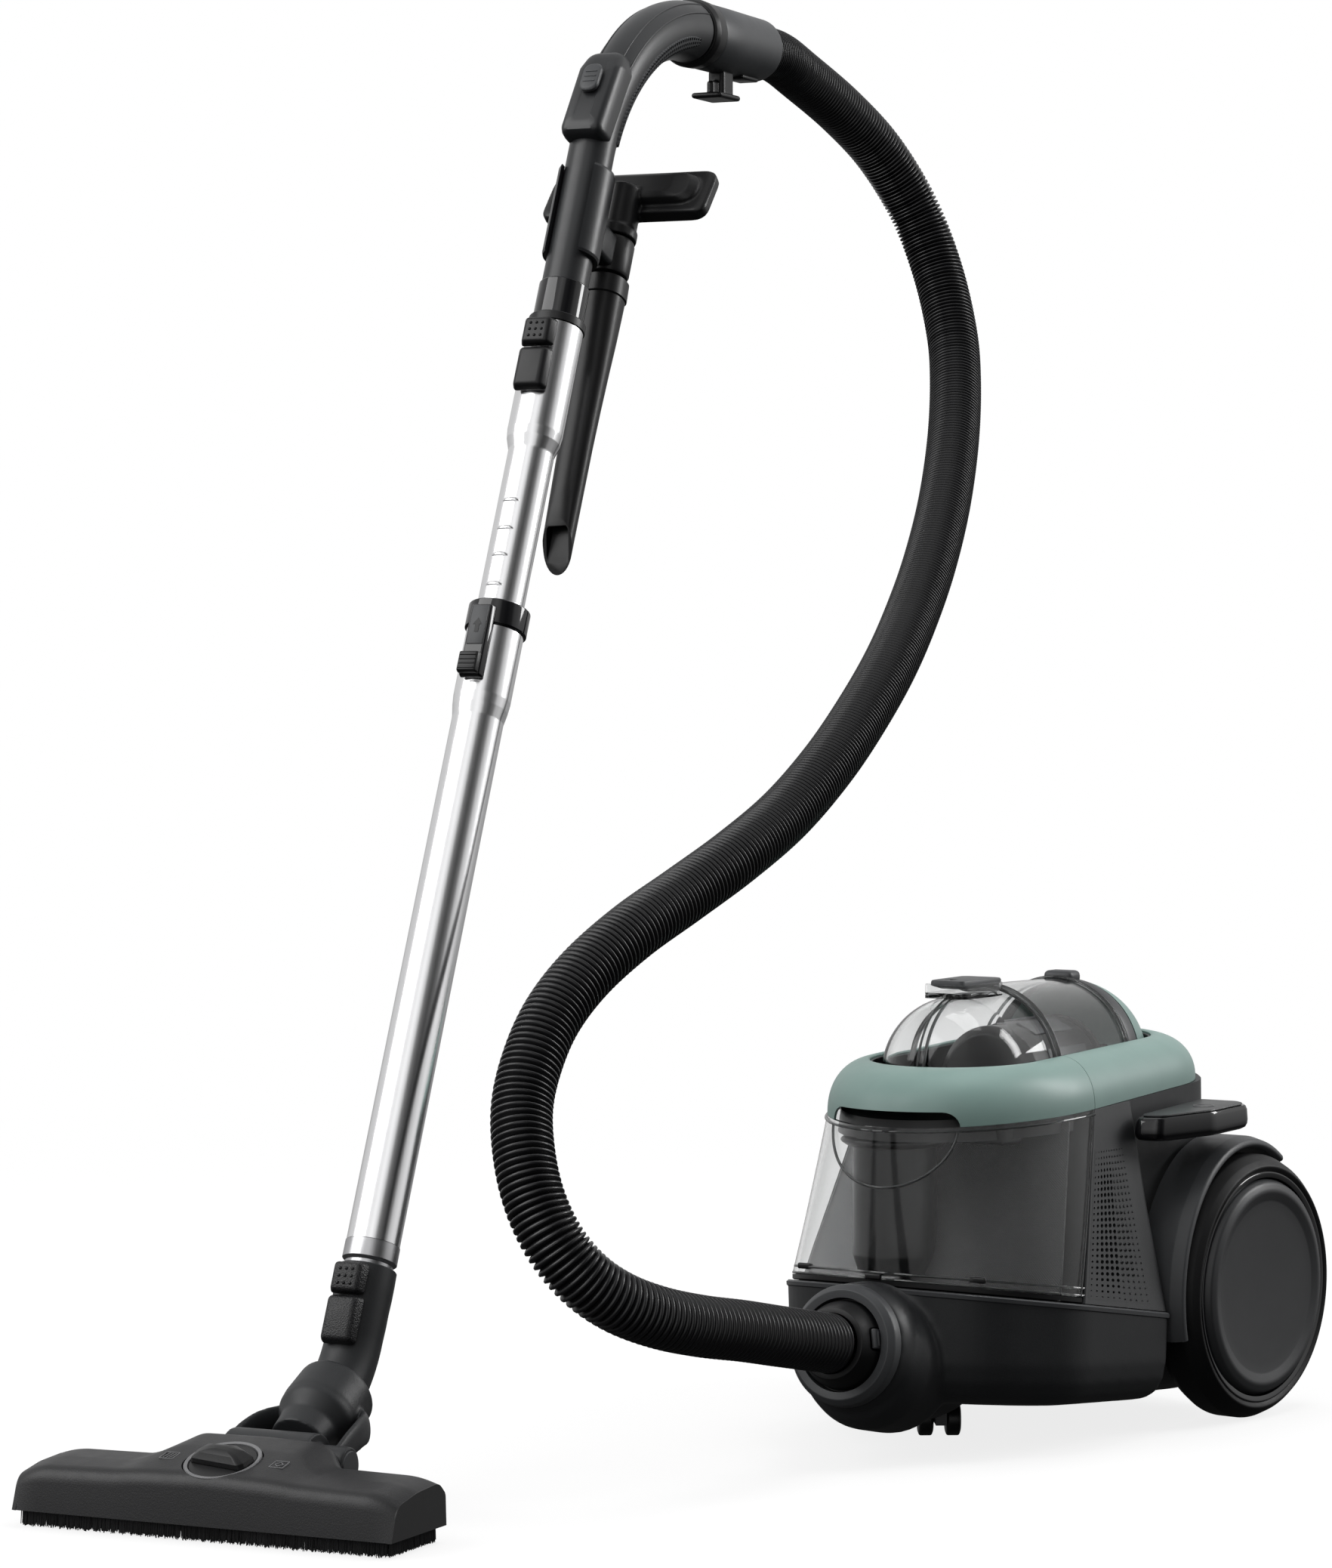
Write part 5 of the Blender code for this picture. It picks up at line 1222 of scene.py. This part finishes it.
def make_handle():
    """The curved grip with its vents, the collar, the hose sleeve and the hook."""
    foot, along, arc = handle_path()
    points = [foot + along * s for s in (0.7375, 0.77, 0.8, 0.83)] + arc
    radii = [HANDLE_RADIUS] * 4 + [grip_radius(k / 48) for k in range(49)]
    grip = place("grip_casing", sweep(points, lambda k: circle(radii[k], 64)), SMOOTH, NOZZLE, "canister",
                 ["handle_grip"])
    for side, name in SIDES:
        def surface(u, v, depth, side=side):
            edge = 0.0016 if min(u, v, 1.0 - u, 1.0 - v) < 1e-6 else 0.0
            spread = 1.0 - 0.55 * (2.0 * u - 1.0) ** 8
            angle = 116.0 + 30.0 * (v - 0.5) * spread
            return arch_point(mix(0.04, 0.9, u), side * angle, depth + 0.0016 - edge)
        window = []
        for depth in (0.003, -0.004):
            rim = [surface(u / 24, 0.02, depth) for u in range(25)] + [surface(0.995, 0.5, depth)]
            rim += [surface(u / 24, 0.98, depth) for u in range(24, -1, -1)] + [surface(0.005, 0.5, depth)]
            window.append(rim)
        carve(grip, "DIFFERENCE", (loft(window), NOZZLE))
        sheet = perforated(surface, 46, 3, lambda u, v: 0.72, -0.0012)
        vents = place("grip_vents_" + name, sheet, GREY, NOZZLE, "canister")
        # The floors of the vent holes get painted shade.
        paint_shade_in_holes(vents)
    for angle, name in ((32.0, "left"), (-32.0, "right"), (58.0, "low_left"), (-58.0, "low_right")):
        line = [arch_point(k / 40, angle, 0.0001) for k in range(2, 41)]
        place("grip_line_" + name, sweep(line, lambda k: circle(0.00055, 8)), SMOOTH, NOZZLE, "canister")
    top = arc[-1]
    back = NOZZLE @ shift(*top) @ turn("X", -90.0)
    collar = [(0.0, 0.0225), (0.024, 0.0225), (0.0262, 0.02, 0.002), (0.0266, 0.008, 0.004),
              (0.0245, 0.0028, 0.002), (0.0, 0.0028)]
    place("grip_collar", turned(collar, 128), BLACK, back, "canister", ["handle_collar"])
    outer = [(0.0228, SLEEVE_END), (0.025, SLEEVE_END - 0.001, 0.001), (0.0252, 0.1), (0.0256, 0.06),
             (0.0256, 0.025), (0.0248, 0.023)]
    inner = [(0.022, SLEEVE_END), (0.022, 0.055), (0.015, 0.023)]
    sleeve = place("grip_sleeve", tube(outer, inner, 128), GREY, back, "canister", ["handle_sleeve"])
    slit = pad((0.004, 0.012, 0.0075), 0.0006, 1)
    carve(sleeve, "DIFFERENCE", (slit, back @ turn("Z", 62.0) @ shift(0.0, 0.0245, 0.108)))
    button = pad((0.017, 0.004, 0.03), 0.0016, 3)
    place("sleeve_button", button, BLACK, back @ shift(0.0, 0.025, 0.102), "canister")
    hook = moved(pad((0.014, 0.02, 0.024), 0.003, 3), shift(0.0, 0.064, -0.0345))
    lip = moved(pad((0.026, 0.038, 0.0045), 0.0021, 4), shift(0.0, 0.055, -0.0445))
    web = moved(pad((0.006, 0.03, 0.012), 0.002, 2), shift(0.0, 0.058, -0.0385))
    fused("sleeve_hook", [hook, lip, web], BLACK, NOZZLE @ shift(*top), "canister", (), 0.0008, 3)
    make_suction_slider()


def make_suction_slider():
    """The raised housing on the outer side of the handle and the air slide in its top."""
    corners = [(-0.0168, 0.852, 0.007), (0.0168, 0.852, 0.007), (0.0175, 0.915, 0.012), (0.0135, 0.931, 0.01),
               (-0.0135, 0.931, 0.01), (-0.0175, 0.915, 0.012)]
    outline = softened(corners, steps=10)
    rings = []
    for depth, share in ((-0.006, 1.02), (-0.015, 1.03), (-0.0205, 1.0), (-0.0238, 0.94), (-0.0258, 0.84),
                         (-0.0266, 0.7), (-0.0268, 0.4)):
        ring = []
        for p in outline:
            run = 0.892 + (p.y - 0.892) * mix(share, 1.0, 0.55)
            curl = max(0.0, run - ARCH_START) ** 2 * 2.8
            ring.append((p.x * share, depth + curl, run))
        rings.append(ring)
    shape = loft(rings)
    housing = place("slider_casing", shape, SMOOTH, WAND, "canister", ["slider_housing"], 30.0)
    tilt = WAND @ turn("X", -10.0)
    face = tilt.inverted() @ WAND @ Vector((0.0, -0.0247, 0.896))
    pocket = slab(box_outline(-0.0086, -0.02, 0.0086, 0.02, 0.0085, 8), [(-0.004, 1.0), (0.012, 1.12)])
    spot = tilt @ shift(*face) @ turn("X", 90.0)
    carve(housing, "DIFFERENCE", (pocket, spot), sharp=30.0)
    oval = box_outline(-0.0076, -0.0125, 0.0076, 0.0125, 0.0075, 8)
    knob = slab(oval, [(-0.002, 0.98), (0.0004, 1.0), (0.0014, 0.93), (0.0018, 0.8)])
    ribs = [moved(pad((0.0098, 0.0011, 0.001), 0.0004), shift(0.0, y, 0.0018)) for y in (-0.0046, 0.0, 0.0046)]
    place("air_slider", merged(knob, *ribs), GREY, spot @ shift(0.0, 0.004, -0.0012), "suction_slider",
          ["suction_slider"])


# ---------------------------------------------------------------- wand


def latch(name, centre, front, body, finish):
    """A dotted push button with a fixed pad under it, on the front of a tube."""
    button = pad((0.0275, 0.009, BUTTON_LONG), 0.0026, 4, (0.7, 0.9))
    dots = []
    for row in (-1, 0, 1):
        for column in (-1, 0, 1):
            dots.append(moved(ball(12, 8, 0.00125), shift(column * 0.0048, -0.0043, row * 0.0051)))
    place(name + "_press", merged(button, *dots), finish, WAND @ shift(0.0, -(front + 0.005), centre),
          name + "_button", [name + "_button"])
    block = pad((0.0285, 0.0098, PAD_LONG), 0.0034, 4, (0.74, 0.9))
    low = centre - 0.5 * (BUTTON_LONG + PAD_LONG) - 0.0004
    place(name + "_block", block, finish, WAND @ shift(0.0, -(front + 0.0034), low), body, [name + "_pad"])


def make_wand():
    """The two tubes, the rings, the slide with its thumb grip and both latches."""
    lower = [(0.019, 0.46), (PIPE_HEAD, 0.4598, 0.0004), (PIPE_HEAD, 0.409, 0.006), (0.0199, 0.4015, 0.006),
             (PIPE_SEAT, 0.393, 0.006), (PIPE_SEAT, 0.0064)]
    place("lower_pipe", tube(lower, [(PIPE_BORE, 0.46), (PIPE_BORE, 0.0064)], 128), ALUMINIUM, WAND,
          "lower_wand", ["lower_tube"])
    end = ring_profile([(0.0189, 0.006), (0.019, -0.006, 0.0006), (0.0184, -0.0066), (0.0166, -0.008),
                        (0.0166, -0.034)],
                       [(0.016, 0.006), (0.0155, -0.034)])
    place("pipe_end_ring", lathe(end, 128), STEEL, WAND, "lower_wand")
    ring = ring_profile([(0.0212, 0.4795), (0.0224, 0.4786, 0.001), (0.0224, 0.461, 0.001), (0.0212, 0.4603)],
                        [(PIPE_BORE, 0.4795), (PIPE_BORE, 0.4603)])
    place("pipe_ring", lathe(ring, 128), GLOSS, WAND, "lower_wand", ["telescope_ring"])
    base = pad((0.019, 0.0062, 0.056), 0.0016, 3, (0.82, 0.97))
    place("track_base", base, GLOSS, WAND @ shift(0.0, -0.0238, 0.445), "lower_wand", ["slide_track"])
    plate = pad((0.0128, 0.0014, 0.03), 0.0005, 2)
    place("track_plate", plate, GREY, WAND @ shift(0.0, -0.027, 0.456), "lower_wand")
    arrow = [(-0.0035, 0.0), (0.0, 0.005), (0.0035, 0.0), (0.0016, 0.0), (0.0016, -0.006), (-0.0016, -0.006),
             (-0.0016, 0.0)]
    inset = slab(arrow, [(0.0, 1.0), (0.0003, 1.0)])
    place("track_arrow", inset, BLACK, WAND @ shift(0.0, -0.0277, 0.456) @ LEVEL, "lower_wand")
    thumb = pad((0.0168, 0.0052, 0.016), 0.0013, 3, (0.86, 0.94))
    ribs = [moved(pad((0.0132, 0.0012, 0.0016), 0.0005),
                  shift(0.0, -0.0026, -0.005 + 0.0033 * k)) for k in range(4)]
    place("thumb_grip", merged(thumb, *ribs), BLACK, WAND @ shift(0.0, -0.0299, 0.426), "telescope_button",
          ["telescope_button"])
    outer = [(0.019, 0.702), (0.0204, 0.7018, 0.0004), (0.0204, 0.618, 0.006), (0.0196, 0.611, 0.005),
             (UPPER_RADIUS, 0.602, 0.006), (UPPER_RADIUS, 0.34)]
    place("upper_pipe", tube(outer, [(UPPER_BORE, 0.702), (UPPER_BORE, 0.34)], 128), ALUMINIUM, WAND,
          "canister", ["upper_tube"])
    for k, height in enumerate((0.492, 0.515, 0.536, 0.558)):
        moon = ball(32, 16, 1.0)
        bmesh.ops.scale(moon, vec=(0.0066, 0.0016, 0.0026), verts=moon.verts)
        for vert in moon.verts:
            vert.co.z = max(vert.co.z, -0.0004)
            vert.co.y += 0.0165 - math.sqrt(UPPER_RADIUS ** 2 - vert.co.x ** 2)
        place(f"detent_{k}", moon, ALUMINIUM, WAND @ shift(0.0, -0.0165, height), "canister")
    ring = ring_profile([(0.0206, 0.7087), (0.0212, 0.708, 0.0004), (0.0212, 0.7023)],
                        [(UPPER_BORE, 0.7087), (UPPER_BORE, 0.7023)])
    place("neck_ring", lathe(ring, 128), BLACK, WAND, "canister", ["upper_ring"])
    collar = ring_profile([(0.018, 0.7372), (0.0186, 0.7364, 0.0006), (0.0186, 0.7089)],
                          [(UPPER_BORE, 0.7372), (UPPER_BORE, 0.7089)])
    place("neck_collar", lathe(collar, 128), GLOSS, WAND, "canister", ["gloss_collar"])
    latch("upper_latch", 0.6885, PIPE_HEAD, "canister", BLACK)
    latch("lower_latch", -0.0245, 0.0196, "lower_wand", LEATHERY)


# ---------------------------------------------------------------- neck and floor nozzle


def make_neck():
    """The elbow under the tube and the yoke that carries the nozzle."""
    lean, rise = math.radians(WAND_LEAN), math.radians(NECK_RISE)
    down = Vector((0.0, -math.sin(lean), -math.cos(lean)))
    away = Vector((0.0, -math.cos(rise), -math.sin(rise)))
    foot, collar = Vector((0.0, *WAND_POINT)), Vector((0.0, *NECK_POINT))
    corner = foot + down * 0.0895
    tangent = 0.03
    points = [foot + down * s for s in (0.0108, 0.0116, 0.02, 0.03, 0.04, 0.05)]
    for k in range(17):
        share = k / 16
        first = corner - down * tangent * (1.0 - share)
        second = corner + away * tangent * share
        points.append(first.lerp(second, share))
    points += [collar + away * 0.004, collar + away * 0.0095]
    radii = [0.0192, 0.02] + [0.0202] * 2 + [0.0199] * 2 + [0.0196] * 17 + [0.0199] * 2
    elbow = place("elbow_pipe", sweep(points, lambda k: circle(radii[k], 64)), DARK, NOZZLE, "lower_wand",
                  ["elbow"])
    bore = lathe([(0.0, 0.03), (0.0171, 0.03), (0.0171, -0.036), (0.0, -0.036)])
    carve(elbow, "DIFFERENCE", (bore, WAND))
    hold = NOZZLE.inverted() @ NECK
    drum = tube([(0.0262, 0.013), (0.0276, 0.0112, 0.002), (0.0282, -0.013)],
                [(0.0209, 0.013), (0.0209, -0.0135)], 96)
    stub = turned([(0.0, -0.01), (0.0282, -0.01), (0.0275, -0.02, 0.008), (0.0215, -0.03, 0.004),
                   (0.0205, -0.046), (0.0, -0.046)], 96)
    barrel = lathe([(0.0, 0.032), (0.02, 0.032), (0.02, -0.032), (0.0, -0.032)])
    shapes = [moved(drum, hold), moved(stub, hold), moved(barrel, shift(0.0, *PIVOT) @ turn("Y", 90.0))]
    for side in (-1.0, 1.0):
        route = [(0.0225, 0.169, 0.054), (0.033, 0.16, 0.053), (0.0385, 0.144, 0.052), (0.041, 0.126, 0.048),
                 (0.0415, 0.111, 0.042), (0.0415, 0.099, 0.0385)]
        arm = smooth_path([Vector((side * x, y, z)) for x, y, z in route], 30)
        wide = [mix(0.0115, 0.008, k / 29) for k in range(30)]
        shapes.append(sweep(arm, lambda k: [(0.36 * a, b) for a, b in circle(wide[k], 24)],
                            Vector((1.0, 0.0, 0.0))))
        boss = turned([(0.0, 0.013), (0.0125, 0.013, 0.0012), (0.013, 0.01), (0.013, -0.01), (0.0, -0.012)])
        shapes.append(moved(boss, shift(side * 0.0435, *PIVOT) @ turn("Y", side * 90.0)))
    fused("yoke_casing", shapes, DARK, NOZZLE, "yoke", ["neck_yoke"], 0.0011, 5)
    for side, name in reversed(SIDES):
        cap = turned([(0.0, 0.001), (0.01, 0.001, 0.0005), (0.0104, 0.0), (0.0, 0.0)])
        place("boss_cap_" + name, cap, GREY, NOZZLE @ shift(side * 0.0564, *PIVOT) @ turn("Y", side * 90.0),
              "yoke")


def nozzle_section(x):
    """Outline of the nozzle body at a distance x from its middle, as (y, z) points."""
    away = abs(x) / NOZZLE_HALF
    hump = 0.5 + 0.5 * math.cos(math.pi * min(1.0, max(0.0, (away - 0.27) / 0.24)))
    end = max(0.0, (away - 0.84) / 0.16)
    front_top = mix(0.0425, 0.0385, away) - 0.0065 * end ** 2
    rear_top = mix(0.045, 0.0575, hump) - 0.002 * away - 0.004 * end ** 2
    depth = mix(0.073, NOZZLE_DEPTH + 0.03, hump)
    crest = mix(depth - 0.01, NOZZLE_DEPTH, hump)
    lean = 0.0045 + 0.003 * end ** 2
    middle = (mix(0.034, 0.052, hump), mix(front_top, rear_top, 0.74))
    corners = [(0.0, 0.0105), (lean, front_top, 0.013), (*middle, 0.05), (crest, rear_top, 0.012),
               (depth - 0.001, rear_top - mix(0.008, 0.02, hump), 0.006), (depth, 0.0105)]
    return softened(corners, steps=7)


def make_nozzle():
    """The nozzle body with its dial, marks and bristles."""
    rings = []
    half = NOZZLE_HALF - 0.0004
    for i in range(121):
        share = mix(-1.0, 1.0, i / 120)
        share = math.copysign(abs(share) ** 0.9, share)
        x = share * half
        rings.append([(x, p.x, p.y) for p in nozzle_section(x)])
    body = place("nozzle_casing", loft(rings), GRAINED, NOZZLE, "nozzle", ["nozzle_body"], 30.0)
    dial = NOZZLE @ shift(*DIAL_POINT) @ turn("X", DIAL_TILT)
    recess = lathe([(0.0, 0.012), (0.029, 0.012), (0.0268, 0.001), (0.0264, -0.0058), (0.0, -0.0058)])
    seat = lathe([(0.0, 0.033), (0.0209, 0.033), (0.0209, -0.033), (0.0, -0.033)])
    cheeks = lathe([(0.0, 0.0575), (0.014, 0.0575), (0.014, -0.0575), (0.0, -0.0575)])
    behind = pad((0.114, 0.05, 0.06), 0.01, 4)
    hollow = pad((2 * (NOZZLE_HALF - 0.0065), 0.06, 0.03), 0.002, 1)
    across = NOZZLE @ shift(0.0, *PIVOT) @ turn("Y", 90.0)
    carve(body, "DIFFERENCE", (recess, dial), (seat, across), (cheeks, across),
          (behind, NOZZLE @ shift(0.0, PIVOT[0] + 0.014, 0.058)),
          (hollow, NOZZLE @ shift(0.0, 0.0392, 0.007)), sharp=30.0)
    floor = pad((2 * (NOZZLE_HALF - 0.01), 0.052, 0.003), 0.001, 1)
    place("nozzle_plate", floor, BLACK, NOZZLE @ shift(0.0, 0.04, 0.0205), "nozzle")
    paint(GREY, "nozzle_sole")
    paint(GREY, "nozzle_roller")
    for side, name in reversed(SIDES):
        rim = []
        middle = Vector((0.037, 0.022))
        for inward, grow in ((0.003, 1.012), (0.0, 1.002)):
            line = [middle + (p - middle) * grow for p in nozzle_section(half)]
            rim.append([(side * (NOZZLE_HALF - inward), p.x, p.y) for p in line])
        place("nozzle_end_" + name, loft(rim), BLACK, NOZZLE, "nozzle")
    ring = ring_profile([(0.0252, 0.0006), (0.0258, 0.0, 0.0003), (0.0258, -0.003)],
                        [(0.0232, 0.0), (0.0232, -0.003)])
    place("dial_rim", lathe(ring, 128), MARK, dial, "dial")
    disc = turned([(0.0, -0.0004), (0.0222, -0.0004, 0.001), (0.023, -0.0014, 0.001), (0.023, -0.005),
                   (0.0, -0.005)], 96)
    wedge = [(-0.0205, -0.008), (0.019, -0.01), (0.0215, -0.006), (0.0225, 0.005), (0.008, 0.0125),
             (-0.0215, 0.009), (-0.0228, 0.003)]
    wedge = softened([(*p, 0.003) for p in wedge])
    ridge = slab(wedge, [(0.0, 1.0), (0.003, 0.96), (0.0068, 0.7), (0.0084, 0.42), (0.0088, 0.2)])
    place("dial_wedge", merged(disc, moved(ridge, turn("Z", -6.0))), BLACK, dial, "dial", ["dial_knob"], 25.0)
    make_marks(body)
    make_bristles()


def make_marks(body):
    """Generic floor-type marks beside the dial: a hatched square and a square with a diamond."""
    size, y = 0.005, 0.033
    for name, x in (("hatch", -0.041), ("diamond", 0.041)):
        lines = []
        frame_lines = [((-1, -1), (1, -1)), ((1, -1), (1, 1)), ((1, 1), (-1, 1)), ((-1, 1), (-1, -1))]
        if name == "hatch":
            frame_lines += [((-0.6 + 0.5 * k, -0.7), (-0.9 + 0.5 * k + 0.6, 0.7)) for k in range(3)]
        else:
            frame_lines += [((0, -0.6), (0.6, 0)), ((0.6, 0), (0, 0.6)), ((0, 0.6), (-0.6, 0)),
                            ((-0.6, 0), (0, -0.6))]
        for a, b in frame_lines:
            start, end = Vector((*a, 0.0)) * size, Vector((*b, 0.0)) * size
            middle, ahead = (start + end) / 2, end - start
            bar = pad((ahead.length, 0.0005, 0.0012), 0.0001, 1)
            bar = moved(bar, shift(*middle) @ Matrix.Rotation(math.atan2(ahead.y, ahead.x), 4, "Z"))
            lines.append(bar)
        height = top_height(body, x, y)
        slope = math.degrees(math.atan2(top_height(body, x, y + 0.004) - top_height(body, x, y - 0.004), 0.008))
        place("mark_" + name, merged(*lines), MARK, NOZZLE @ shift(x, y, height - 0.0002) @ turn("X", slope),
              "nozzle")


def top_height(body, x, y):
    """Height of the nozzle's top surface at a point of the nozzle frame."""
    hit, spot, _normal, _face = body.ray_cast(Vector((x, y, 0.1)), Vector((0.0, 0.0, -1.0)))
    return spot.z if hit else 0.045


FRONT_HAIRS, END_HAIRS, HAIR_ROWS = 760, 170, 3


def make_bristles():
    """A fringe of fine bristles along the front and both ends, in tufts of uneven length."""
    random.seed(7)
    shape = bmesh.new()

    def hair(x, y, top, length, along):
        width = random.uniform(0.00035, 0.0006)
        lean_x, lean_y = random.uniform(-0.0009, 0.0009), random.uniform(-0.0012, 0.0004)
        side = Vector((width, 0.0, 0.0)) if along == "x" else Vector((0.0, width, 0.0))
        deep = Vector((0.0, width, 0.0)) if along == "x" else Vector((width, 0.0, 0.0))
        foot = Vector((x, y, top))
        tip = Vector((x + lean_x, y + lean_y, top - length))
        ring = [foot - side, foot + deep, foot + side, foot - deep]
        low = [tip + (p - foot) * 0.6 for p in ring]
        a = [shape.verts.new(p) for p in ring]
        b = [shape.verts.new(p) for p in low]
        for k in range(4):
            shape.faces.new((a[k], a[(k + 1) % 4], b[(k + 1) % 4], b[k]))
        shape.faces.new(a)
        shape.faces.new(b)

    for i in range(FRONT_HAIRS):
        x = mix(-0.136, 0.1335, i / (FRONT_HAIRS - 1))
        tuft = 0.0004 * math.sin(i * 0.33) + random.uniform(-0.0013, 0.0002)
        for row in range(HAIR_ROWS):
            hair(x + random.uniform(-0.0003, 0.0003), 0.005 + 0.0012 * row, 0.0165,
                 0.0162 + tuft - 0.0005 * row, "x")
    for side in (-1.0, 1.0):
        for i in range(END_HAIRS):
            y = mix(0.009, 0.068, i / (END_HAIRS - 1))
            length = 0.0155 + random.uniform(-0.0012, 0.0006)
            for row in range(HAIR_ROWS):
                hair(side * (0.1352 - 0.0012 * row), y + random.uniform(-0.0003, 0.0003), 0.016, length, "y")
    for along, x, y, size in (("x", 0.0, 0.0064, (0.27, 0.004, 0.004)),
                              ("y", 0.1338, 0.038, (0.004, 0.06, 0.004)),
                              ("y", -0.1338, 0.038, (0.004, 0.06, 0.004))):
        shape.from_mesh(mesh_of(moved(pad(size, 0.0006, 1), shift(x, y, 0.0142))))
    place("bristle_fringe", shape, BRISTLE, NOZZLE, "brush", ["brush_strip"], 60.0)


def mesh_of(shape):
    mesh = bpy.data.meshes.new("part")
    shape.to_mesh(mesh)
    shape.free()
    return mesh


# ---------------------------------------------------------------- accessories on the handle tube


def make_accessories():
    """The clip on the handle tube with the crevice tool and the upholstery brush."""
    hug = ring_profile([(0.0206, 0.832), (0.0213, 0.83, 0.002), (0.0213, 0.762, 0.002), (0.0206, 0.76)],
                       [(HANDLE_RADIUS + GAP, 0.832), (HANDLE_RADIUS + GAP, 0.76)])
    holder = place("tool_clip", lathe(hug, 96), SMOOTH, WAND, "canister", ["accessory_holder"])
    window = pad((0.027, 0.03, 0.12), 0.003, 3)
    carve(holder, "DIFFERENCE", (window, WAND @ shift(0.0, -0.02, 0.795)))
    bracket = pad((0.02, 0.03, 0.026), 0.004, 3)
    place("clip_bracket", bracket, SMOOTH, WAND @ shift(0.0, 0.033, 0.7915), "canister")
    socket = [(0.0, 0.015), (0.015, 0.015, 0.001), (0.016, 0.012), (0.016, -0.012), (0.015, -0.015, 0.001),
              (0.0, -0.015)]
    place("clip_socket", turned(socket), BLACK, WAND @ shift(0.0, 0.06, 0.7915), "canister")
    stations = [(0.7748, 0.015, 0.015), (0.7738, 0.0168, 0.0168), (0.76, 0.0172, 0.0172),
                (0.759, 0.0162, 0.016), (0.745, 0.016, 0.0152), (0.725, 0.0156, 0.014), (0.7, 0.0148, 0.012),
                (0.67, 0.0138, 0.0108), (0.64, 0.013, 0.01), (0.6, 0.0125, 0.0092), (0.56, 0.012, 0.0085)]
    rings = []
    for run, wide, deep in stations:
        ring = []
        for k in range(40):
            angle = 2.0 * math.pi * k / 40
            skew = -0.02 * math.sin(angle) if run < 0.59 else 0.0
            flat = math.copysign(abs(math.sin(angle)) ** 0.8, math.sin(angle))
            ring.append((wide * math.cos(angle), 0.06 + deep * flat + (0.776 - run) * 0.02,
                         run - GAP * 3 + skew))
        rings.append(ring)
    tool_piece = place("crevice_nozzle", loft(rings), BLACK, WAND, "crevice_tool", ["crevice_tool"])
    carve(tool_piece, "DIFFERENCE", (pad((0.018, 0.011, 0.08), 0.002, 2), WAND @ shift(0.0, 0.064, 0.56)))
    neck = turned([(0.0, 0.022), (0.015, 0.022, 0.003), (0.015, -0.012, 0.002), (0.0164, -0.014, 0.001),
                   (0.0164, -0.0215), (0.0, -0.0218)], 64)
    head_spot = shift(0.0, 0.072, 0.85) @ turn("X", 72.0)
    plate = box_outline(-0.068, -0.0225, 0.068, 0.0215, 0.01)
    head = slab(plate, [(-0.006, 0.94), (-0.005, 0.985), (-0.0035, 1.0), (0.0035, 1.0), (0.005, 0.97),
                        (0.0056, 0.92)])
    bulge_line = box_outline(-0.05, -0.015, 0.06, 0.015, 0.014)
    bulge = slab(bulge_line, [(0.0, 1.0), (0.008, 0.97), (0.012, 0.86), (0.014, 0.62)])
    shapes = [moved(neck, shift(0.0, 0.06, 0.829)), moved(head, head_spot), moved(bulge, head_spot)]
    fused("brush_tool", shapes, BLACK, WAND, "upholstery_tool", ["upholstery_tool"], 0.001, 3)


# ---------------------------------------------------------------- build
bpy.context.scene.view_settings.view_transform = "Standard"
make_camera()
make_hose()
light_room()
make_floor()
make_base()
make_inlet()
make_housing()
for wheel_side, wheel_name in SIDES:
    make_arch(wheel_side, wheel_name)
    make_wheel(wheel_side, wheel_name)
make_front_frame()
make_rear_frame()
make_domes()
make_bin()
make_pedal(1.0, "power_pedal")
make_pedal(-1.0, "rewind_pedal")
make_caster()
make_handle()
make_wand()
make_neck()
make_nozzle()
make_accessories()
